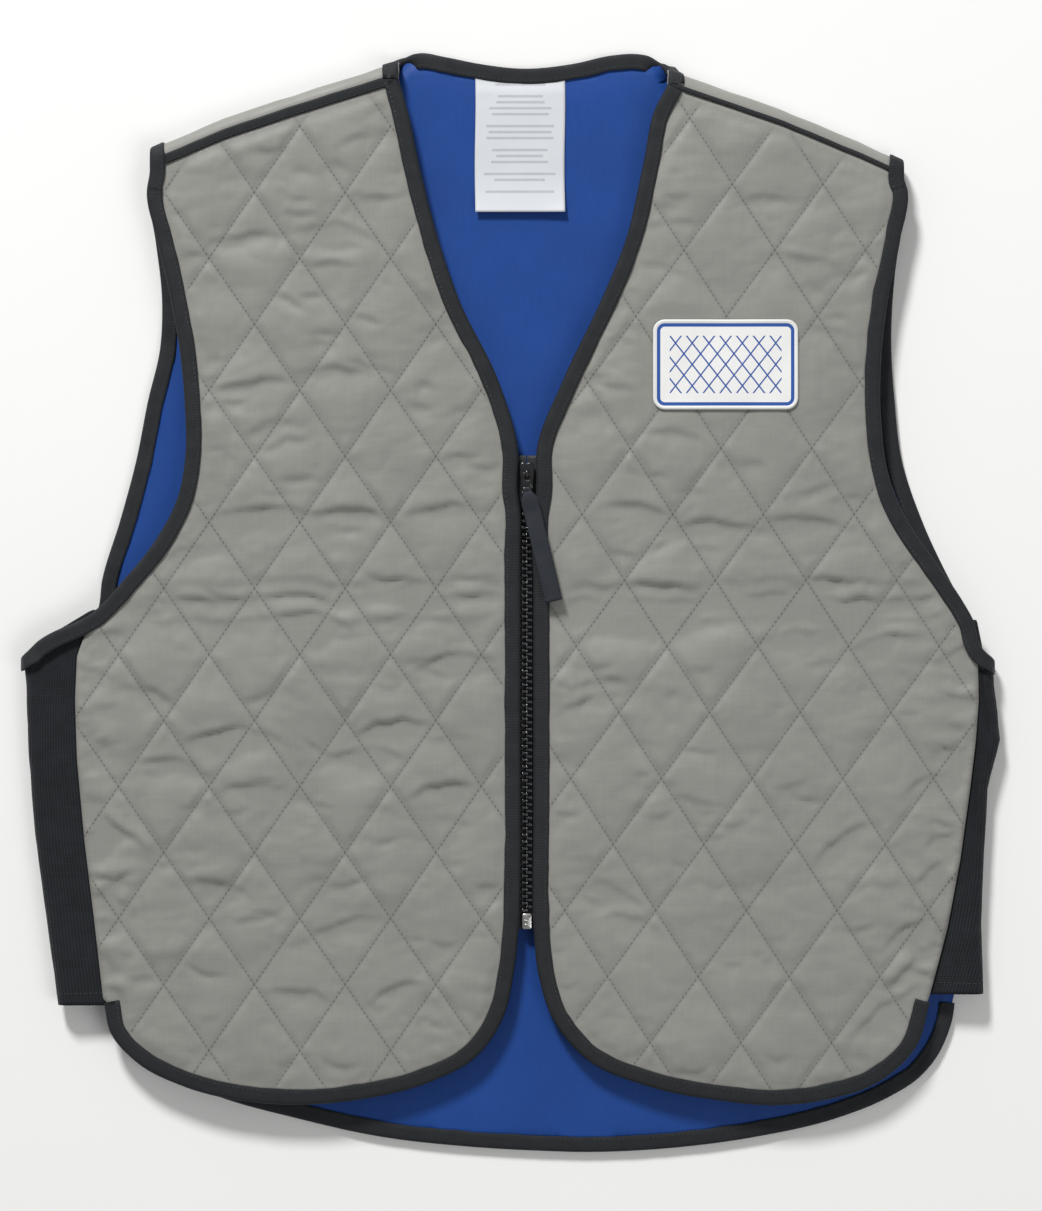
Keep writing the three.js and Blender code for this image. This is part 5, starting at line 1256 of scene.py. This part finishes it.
# Bindings
SWEEPS = {
    "front_binding_left": (CENTRE["left"], 101), "front_binding_right": (CENTRE["right"], 103),
    "armhole_binding_left": (ARMHOLE["left"], 105), "armhole_binding_right": (ARMHOLE["right"], 107),
    "neck_binding": (NECK, 109), "hem_binding": (HEM, 111),
}
for name, (stations, seed) in SWEEPS.items():
    side = name.rpartition("_")[2]
    points, faces, uv = binding_mesh(stations, seed, 1.0 if side in SIGN else 0.0)
    points[:, 2] = np.maximum(points[:, 2], 0.0)
    tape = piece(f"{name}_tape", points, faces, [TAPE], "binding", name, uv=uv)
    length = between(stations, np.array([0.0]))[3]
    points, faces = trim_stitches(stations, STITCH_INSET, (1,) if name == "hem_binding" else (1, -1))
    points[:, 2] = np.maximum(points[:, 2], -0.2)
    piece(f"{name}_stitches", points, faces, [BLACK_THREAD], "binding")

# Side panels of ribbed knit, from under the front round the fold to the back
KNIT_ROWS, KNIT_COLUMNS = 96, 40
for side, sign in SIGN.items():
    rows = SIDE_PANEL[side]
    grid = []
    for share in np.linspace(0, 1, KNIT_ROWS):
        up = rows[0][0] + share * (rows[-1][0] - rows[0][0])
        front_x, back_x = (sign * across(look_up(rows, up, column)) for column in (1, 2))
        level = float(middle(front_x))
        path = [(front_x - sign * 5, along(up), level - 2.3), (front_x + sign * 1.5, along(up), level - 1.4)]
        path += side_turn(side, share)
        path = np.array([*path, (back_x + sign * 0.3, along(up), BACK_MIDDLE - 0.2)])
        at = along_path(path)
        grid.append(read(path, at, np.linspace(0, at[-1], KNIT_COLUMNS)))
    grid = np.array(grid)
    normals = unit(np.cross(np.gradient(grid, axis=1), np.gradient(grid, axis=0)))
    normals = normals * np.sign(normals[KNIT_ROWS // 2, 8, 2])
    s = np.linspace(0, 60, KNIT_COLUMNS)[None, :]
    v = grid[:, :, 1]
    steps = np.arange(KNIT_ROWS)
    soft = np.minimum(1, np.minimum(steps, steps[::-1])[:, None] / 8)
    soft = soft * np.sin(np.pi * np.linspace(0, 1, KNIT_COLUMNS))[None, :] ** 0.7
    swell = 0.75 * noise(s + 0 * v, v, 17, 52, 121) + 0.35 * noise(s + 0.3 * v, v, 9, 17, 122)
    swell = swell + 0.3 * valley(noise(s + 0 * v, v, 21, 30, 123), 0.15)
    grid = grid + normals * (swell * soft)[:, :, None] * 0.9
    grid[:, :, 2] = np.maximum(grid[:, :, 2], SIDE_WALL / 2)
    width = np.array([along_path(row) for row in grid])
    points, faces, uv = thick_sheet(grid, normals, SIDE_WALL - 0.2, np.stack([width, v], -1) / 1000)
    panel = piece(f"side_knit_{side}", points, faces, [KNIT], "knit", f"side_panel_{side}", uv=uv)
    piece(f"side_stitches_{side}", *row_beads(grid[-4], normals[-4], 6, 2, 0.75, 2.2), [BLACK_THREAD], "knit")

# Shoulder tapes over the joins of the fronts to the back
for side, sign in SIGN.items():
    down, width = SHOULDER_TAPE[side]
    ends = [sign * (across(SHOULDER_FOLD[side][k][0]) + inset) for k, inset in ((0, 1.5), (-1, -1.5))]
    xs = np.linspace(*ends, 84)
    shares = np.linspace(0, 1, 7)
    grid = []
    for x, wave in zip(xs, 0.12 * noise(xs, xs * 0, 9, 1, 131)):
        top, level = shoulder_at(side, x)[0], float(middle(x)) + 1.25
        grid.append([(x, top - down - width * t + wave, level + 0.25 * math.sin(math.pi * t) + wave * 0.6)
                     for t in shares])
    grid = np.array(grid)
    uv = np.stack(np.meshgrid(np.abs(xs - ends[0]), width * shares, indexing="ij"), -1) / 1000
    points, faces, uv = thick_sheet(grid, sheet_normals(grid, (0, 0, 1)), 0.7, uv)
    piece(f"shoulder_ribbon_{side}", points, faces, [TAPE], "binding", f"shoulder_tape_{side}", uv=uv)
    ups = np.tile([0, 0, 1.0], (len(xs), 1))
    columns = (1, 5) if width > 4 else (3,)
    sewn = merged([row_beads(grid[:, t], ups, 2, 1, 0.42, 2.1, (0.42, 0.34)) for t in columns])
    piece(f"shoulder_stitches_{side}", *sewn, [BLACK_THREAD], "binding")


# Zipper
def loft(rings):
    """A closed solid through rings of equal count, which run counter-clockwise seen from the last."""
    rings = np.asarray(rings, float)
    count, around = rings.shape[:2]
    k = np.arange(around)
    k2 = (k + 1) % around
    n = count * around
    faces = [grid_faces(count, around, wrap=True), np.stack([np.full(around, n), k2, k], 1),
             np.stack([np.full(around, n + 1), n - around + k, n - around + k2], 1)]
    return np.vstack([rings.reshape(-1, 3), rings[0].mean(0), rings[-1].mean(0)]), faces


def drawn_in(outline, z, inset):
    """A plan outline at a height, drawn in by a distance towards its middle."""
    outline = np.asarray(outline, float)
    centre = outline.mean(0)
    way = outline - centre
    reach = np.linalg.norm(way, axis=1, keepdims=True)
    return np.column_stack([centre + way * (1 - inset / np.maximum(reach, 0.1)), np.full(len(outline), z)])


def stack(outline, levels):
    """A solid through one plan outline at heights, each with its inset."""
    return loft([drawn_in(outline, z, inset) for z, inset in levels])


def rounded(x0, x1, y0, y1, corner, steps=4):
    points = []
    for cx, cy, turn in ((x1 - corner, y0 + corner, -90), (x1 - corner, y1 - corner, 0),
                         (x0 + corner, y1 - corner, 90), (x0 + corner, y0 + corner, 180)):
        for k in range(steps + 1):
            a = math.radians(turn + 90 * k / steps)
            points.append((cx + corner * math.cos(a), cy + corner * math.sin(a)))
    return np.array(points)


def block_at(x, half, y0, y1, corner, levels):
    return stack(rounded(x - half, x + half, y0, y1, corner), levels)


CHAIN_TOP = TAPE_BOTTOM + 3.0
CHAIN_HALF = 3.2
PITCH = 4.1
TEETH_TOP = 73.0
TEETH_LOW = ZIPPER_BOTTOM + 11.0
TOOTH = np.array([(-3.15, -0.95), (-1.4, -0.8), (-0.5, -0.62), (0.1, -0.95), (0.62, -0.6), (0.75, 0.0),
                  (0.62, 0.6), (0.1, 0.95), (-0.5, 0.62), (-1.4, 0.8), (-3.15, 0.95), (-3.3, 0.0)])
TOOTH_LEVELS = [(TAPE_BOTTOM + 0.1, 0.35), (TAPE_BOTTOM + 0.4, 0.0), (CHAIN_TOP - 0.55, 0.0),
                (CHAIN_TOP - 0.15, 0.2), (CHAIN_TOP, 0.5)]
for side, sign in SIGN.items():
    ys = np.linspace(ZIPPER_BOTTOM + 0.2, ZIPPER_TOP - 0.2, 150)
    x, y = np.meshgrid(ZIPPER_X + sign * np.linspace(0.15, CHAIN_HALF + 9.3, 14), ys)
    beside = smooth(CHAIN_HALF - 0.2, CHAIN_HALF + 1.0, np.abs(x - ZIPPER_X))
    z = TAPE_BOTTOM + beside * (0.5 + 0.12 * noise(x, y, 12, 26, 141) + 0.08 * noise(x, y, 5, 9, 142))
    grid = np.stack([x, y, np.minimum(z, TAPE_BOTTOM + 0.62)], -1)
    points, faces, _ = thick_sheet(grid, np.tile([0, 0, 1.0], (*x.shape, 1)), 0.5)
    tape = piece(f"zipper_web_{side}", points, faces, [ZIP_CLOTH], "binding", f"zipper_tape_{side}")
    plan = TOOTH if sign < 0 else (TOOTH * [-1.0, 1.0])[::-1]
    low = TEETH_LOW + (PITCH / 2 if sign > 0 else 0.0) + 0.6
    teeth = [stack(plan + [ZIPPER_X, low + k * PITCH], TOOTH_LEVELS)
             for k in range(int((TEETH_TOP - TEETH_LOW) / PITCH))]
    piece(f"zipper_chain_{side}", *merged(teeth), [TEETH], "teeth", f"zipper_teeth_{side}")

low = ZIPPER_BOTTOM + 0.2
shell = block_at(ZIPPER_X, 3.1, low, low + 9.6, 1.2, [(TAPE_BOTTOM + 0.1, 0.5), (TAPE_BOTTOM + 0.5, 0),
                                                      (CHAIN_TOP - 0.1, 0), (CHAIN_TOP + 0.3, 0.6)])
rib = block_at(ZIPPER_X, 1.9, low + 2.0, low + 3.2, 0.5,
               [(CHAIN_TOP, 0.0), (CHAIN_TOP + 0.5, 0.05), (CHAIN_TOP + 0.7, 0.3)])
piece("zipper_stop", *merged([shell, rib, (rib[0] + [0, 2.4, 0], rib[1])]), [STEEL], "metal", "zipper_box")

# Slider: two plates joined at the top end by a wedge, with an arched crown for the puller
SLIDER_LOW = 67.0
SLIDER_HIGH = 84.0
PLATE_LOW = CHAIN_TOP + 0.35
PLATE_HIGH = PLATE_LOW + 1.15
HINGE_Y = (SLIDER_LOW + SLIDER_HIGH) / 2 + 1
HINGE_Z = PLATE_HIGH + 3.7
CROWN_RADIUS = 2.1
HALF, Y0, Y1 = 4.5 * 0.97, SLIDER_LOW + 0.3, SLIDER_HIGH - 0.3
RIGHT = [(0.0, Y0), (0.5, Y0 + 0.1), (0.8, Y0 + 0.6), (0.86, Y0 + 2.0), (0.88, Y0 + 6.0), (1.0, Y0 + 9.5),
         (1.0, Y1 - 3.0), (0.93, Y1 - 1.2), (0.72, Y1 - 0.3), (0.4, Y1), (0.15, Y1 - 0.5)]
PLATE = np.array(RIGHT + [(-x, y) for x, y in RIGHT[:0:-1]]) * [HALF, 1] + [ZIPPER_X, 0]
parts = [
    stack(PLATE, [(PLATE_LOW, 0.35), (PLATE_LOW + 0.25, 0.0), (PLATE_HIGH - 0.4, 0.0),
                  (PLATE_HIGH - 0.1, 0.25), (PLATE_HIGH + 0.1, 1.1)]),
    stack(PLATE, [(TAPE_BOTTOM - 1.45, 0.6), (TAPE_BOTTOM - 1.2, 0.1), (TAPE_BOTTOM - 0.6, 0.0),
                  (TAPE_BOTTOM - 0.35, 0.3)]),
    block_at(ZIPPER_X, 1.3, SLIDER_HIGH - 6.0, SLIDER_HIGH - 1.4, 1.0,
             [(TAPE_BOTTOM - 0.6, 0.0), (PLATE_LOW + 0.3, 0.0)]),
]
arch = []
for a in np.linspace(-0.32 * math.pi, 1.32 * math.pi, 22):
    way = np.array([0, math.cos(a), math.sin(a)])
    place = np.array([ZIPPER_X, HINGE_Y, HINGE_Z]) + way * CROWN_RADIUS * [1, 1.12, 1]
    arch.append([place + [1.05 * math.cos(b), 0, 0] + way * 0.48 * math.sin(b)
                 for b in np.linspace(0, 2 * math.pi, 10, endpoint=False)])
parts.append(loft(arch))
for y in (HINGE_Y - 1.75, HINGE_Y + 1.75):
    parts.append(block_at(ZIPPER_X, 1.15, y - 0.9, y + 0.9, 0.5,
                          [(PLATE_HIGH - 0.3, -0.3), (PLATE_HIGH + 0.4, 0.0), (HINGE_Z - 1.3, 0.25)]))
piece("zipper_slider_body", *merged(parts), [ENAMEL], "metal", "zipper_slider")


# Puller: a flat frame that hangs by its rod in the crown
def plate_with_hole(outside, hole, level, bevel=0.2):
    """A flat ring between two outlines of equal count, with bevelled rims."""
    levels = [(-level, bevel), (bevel - level, 0), (level - bevel, 0), (level, bevel)]
    rings = [drawn_in(outside, z, inset) for z, inset in levels]
    rings += [drawn_in(hole, z, -inset) for z, inset in levels[::-1]]
    count = len(outside)
    return np.vstack(rings), [grid_faces(len(rings), count, wrap=True), closing_faces(len(rings), count)]


ROD = 0.75
PULLER_HALF = 2.75
PULLER_LEVEL = 0.68
turns = np.linspace(0, 2 * math.pi, 12, endpoint=False)
rod = [[(x, ROD * math.cos(b), ROD * math.sin(b)) for b in turns] for x in np.linspace(-2.3, 2.3, 5)]
parts = []
for span, half, hole in (((-8.0, 0.8), 1.5, (-3.6, -0.9)), ((-16.8, -7.9), 1.7, (-14.6, -12.4))):
    plate = rounded(-PULLER_HALF, PULLER_HALF, *span, 1.2, 6)
    parts.append(plate_with_hole(plate, rounded(-half, half, *hole, 0.6, 6), PULLER_LEVEL))
points, faces = merged([*parts, loft(rod)])
piece("zipper_puller_frame", points + [ZIPPER_X, HINGE_Y, HINGE_Z], faces, [ENAMEL], "metal", "zipper_puller",
      body="puller")

# Ribbon fob, folded through the puller and sewn together below it
LEAN = math.radians(13.5)
LIFT = math.radians(4.0)
FOB_WIDTH, FOB_LENGTH = 10.4, 67.5
fob = np.array([ZIPPER_X + 0.3, 65.8, HINGE_Z - 0.1])
down_way = np.array([math.sin(LEAN) * math.cos(LIFT), -math.cos(LEAN) * math.cos(LIFT), math.sin(LIFT)])
wide_way = unit(np.cross([0, 0, 1.0], down_way))
off_way = unit(np.cross(down_way, wide_way))
parts, uvs, faced = [], [], []
shares = np.linspace(-1, 1, 11)
for layer in (1, -1):
    grid, uv = [], []
    for s in np.linspace(0, FOB_LENGTH, 60):
        open_part = 1 - smooth(4, 13, s)
        apart = 0.55 + 1.0 * open_part * math.sqrt(max(0.0, 1 - (1 - min(s / 2.2, 1)) ** 2))
        half = FOB_WIDTH / 2 * (0.55 * smooth(0, 5, s) + 0.45)
        off = layer * apart - 1.9 * (s / FOB_LENGTH) ** 2
        curl = 0.35 * math.sin(s / 9.0) * shares + 0.25 * shares**2 * math.sin(s / 14.0)
        grid.append(fob + down_way * s + np.outer(shares * half, wide_way) + np.outer(off + curl, off_way))
        uv.append([(s, 5 * (t + 1)) for t in shares])
    grid = np.array(grid)
    n = sheet_normals(grid, off_way)
    p, f, u = thick_sheet(grid, n, 0.9, np.array(uv) / 1000)
    parts.append((p, f))
    uvs.append(u)
    faced.append((grid, n))
strap = piece("pull_ribbon", *merged(parts), [FOB], "binding", "pull_tab", body="puller", uv=np.vstack(uvs))
grid, n = faced[0]
at, up = [], []
for row in (14, 57):
    for t in np.linspace(0.6, 9.4, 5):
        k = int(t)
        at.append(grid[row, k] * (1 - t + k) + grid[row, k + 1] * (t - k) + n[row, k] * 0.5)
        up.append(n[row, k])
stitch = beads(np.array(at), np.tile(wide_way, (len(at), 1)), np.array(up), 1.5, *STITCH_SIZE)
piece("pull_ribbon_stitches", *stitch, [BLACK_THREAD], "binding", body="puller")

# Neck label, sewn under the neck binding and curling up at its free end
LABEL = {"x": 4.8, "width": 54.0, "length": 85.0, "curl": 3.0}
label_top = along(np.interp(LABEL["x"] / HALF_WIDTH, *np.transpose(NECK_EDGE))) - CLOTH_INSET - 0.5
share, t = np.meshgrid(np.linspace(0, 1, 60), np.linspace(-1, 1, 34), indexing="ij")
lift = LABEL["curl"] * np.maximum(0.0, (share - 0.68) / 0.32) ** 2 * (0.75 + 0.25 * t * t + 0.12 * t)
wave = 0.22 * np.sin(2.3 * t + 1.0) * smooth(0.05, 0.3, share) + 0.12 * np.sin(9 * share + 3 * t)
rise = 4.72 - 0.9 * (1 - smooth(0.06, 0.16, share)) + 0.3 * smooth(0.1, 0.3, share)
flat = np.stack([t * LABEL["width"] / 2, share * LABEL["length"]], -1)
grid = np.stack([LABEL["x"] + flat[..., 0] + 0.25 * np.sin(7 * share), label_top - flat[..., 1],
                 rise + lift + wave * 0.8 * smooth(0.08, 0.2, share)], -1)
points, faces, uv = thick_sheet(grid, sheet_normals(grid, (0, 0, 1)), 0.32, flat / 1000)
label = piece("care_label", points, faces, [LABEL_CLOTH], "label", "neck_label", uv=uv)

# Patch on the right front, lying over the quilting
w, h, r = PATCH["width"] / 2, PATCH["height"] / 2, PATCH["corner"]
ring = rounded(-w, w, -h, h, r, 8)
ring = np.vstack([ring, ring[:1]])
length = along_path(ring)
outline = read(ring, length, np.linspace(0, length[-1], 181)[:-1])
PATCH_STEP = 3.0
PATCH_MARGIN = 18
px = np.arange(-w - PATCH_MARGIN, w + PATCH_MARGIN, PATCH_STEP)
py = np.arange(-h - PATCH_MARGIN, h + PATCH_MARGIN, PATCH_STEP)
gx, gy = np.meshgrid(px + PATCH["x"], py + PATCH["y"], indexing="ij")
cloth = front_top("right", gx.ravel(), gy.ravel()).reshape(gx.shape)
for _ in range(3):
    cloth[1:-1] = (cloth[:-2] + cloth[1:-1] + cloth[2:]) / 3
    cloth[:, 1:-1] = (cloth[:, :-2] + cloth[:, 1:-1] + cloth[:, 2:]) / 3

# Rings from the middle of its underside out to the rim and back to its middle: inset, lift, scale
under = [(6.4, 0.10, k / 16) for k in range(1, 17)] + [(4.4, 0.10, 1.0), (2.3, 0.05, 1.0)]
over = [(0.0, -0.05, 1.0), (0.0, 0.45, 1.0), (0.35, 0.95, 1.0), (1.0, 1.15, 1.0), (1.7, 0.98, 1.0),
        (2.3, 0.72, 1.0), (3.4, 0.70, 1.0), (4.4, 0.70, 1.0), (5.2, 0.70, 1.0)]
over += [(6.4, 0.70, 1 - k / 16) for k in range(16)]
core = np.clip(outline, [-w + r, -h + r], [w - r, h - r])
rings = []
for inset, lift, scale in under + over:
    plan = (core + unit(outline - core) * (r - inset)) * scale
    z = cubic(cloth, (plan[:, 0] - px[0]) / PATCH_STEP, (plan[:, 1] - py[0]) / PATCH_STEP)
    rings.append(np.column_stack([plan + [PATCH["x"], PATCH["y"]], z + 0.6 + lift]))
points, faces = loft(rings)
tones = np.zeros(len(rings) - 1, int)
tones[len(under) - 1:len(under) + 4] = 1
tones[len(under) + 5:len(under) + 7] = 2
kinds = np.concatenate([np.repeat(tones, len(outline)), np.zeros(2 * len(outline), int)])
badge = piece("chest_patch_cloth", points, faces, [PATCH_CLOTH, WHITE_THREAD, BLUE_THREAD], "label",
              "chest_patch", kinds=kinds, uv=(points[:, :2] - [PATCH["x"], PATCH["y"]]) / 1000)

# Floor, lights and camera
mesh = bpy.data.meshes.new("floor")
corners = [(-4, -4), (4, -4), (4, 4), (-4, 4)]
mesh.from_pydata([(x, y, -0.0006) for x, y in corners], [], [(0, 1, 2, 3)])
mesh.materials.append(floor_paper("floor_paper"))
floor = bpy.data.objects.new("floor", mesh)
bpy.context.scene.collection.objects.link(floor)

world = bpy.data.worlds.new("studio")
bpy.context.scene.world = world
world.use_nodes = True
sky = world.node_tree.nodes["Background"]
sky.inputs["Color"].default_value = (1.0, 1.0, 1.0, 1)
sky.inputs["Strength"].default_value = 0.29


def lamp(name, place, size, power):
    """A round lamp that shines at the vest's middle."""
    light = bpy.data.lights.new(name, "AREA")
    light.shape = "DISK"
    light.size = size
    light.energy = power
    obj = bpy.data.objects.new(name, light)
    bpy.context.scene.collection.objects.link(obj)
    x, y, z = place
    obj.location = place
    obj.rotation_euler = (math.acos(z / math.hypot(x, y, z)), 0, math.atan2(x, -y))


lamp("key", (-1.3, 3.7, 2.7), 0.9, 222)
lamp("fill", (2.2, -1.6, 3.2), 2.4, 34)

VIEW_HEIGHT = 0.7266
DISTANCE = 2.2
SENSOR = 24
camera = bpy.data.cameras.new("camera")
camera.sensor_fit = "VERTICAL"
camera.sensor_height = SENSOR
camera.lens = SENSOR * DISTANCE / VIEW_HEIGHT
camera.clip_end = 50
eye = bpy.data.objects.new("camera", camera)
eye.location = (0.00693, -0.00174, 0.014 + DISTANCE)
bpy.context.scene.collection.objects.link(eye)
bpy.context.scene.camera = eye
bpy.context.scene.view_settings.view_transform = "Standard"
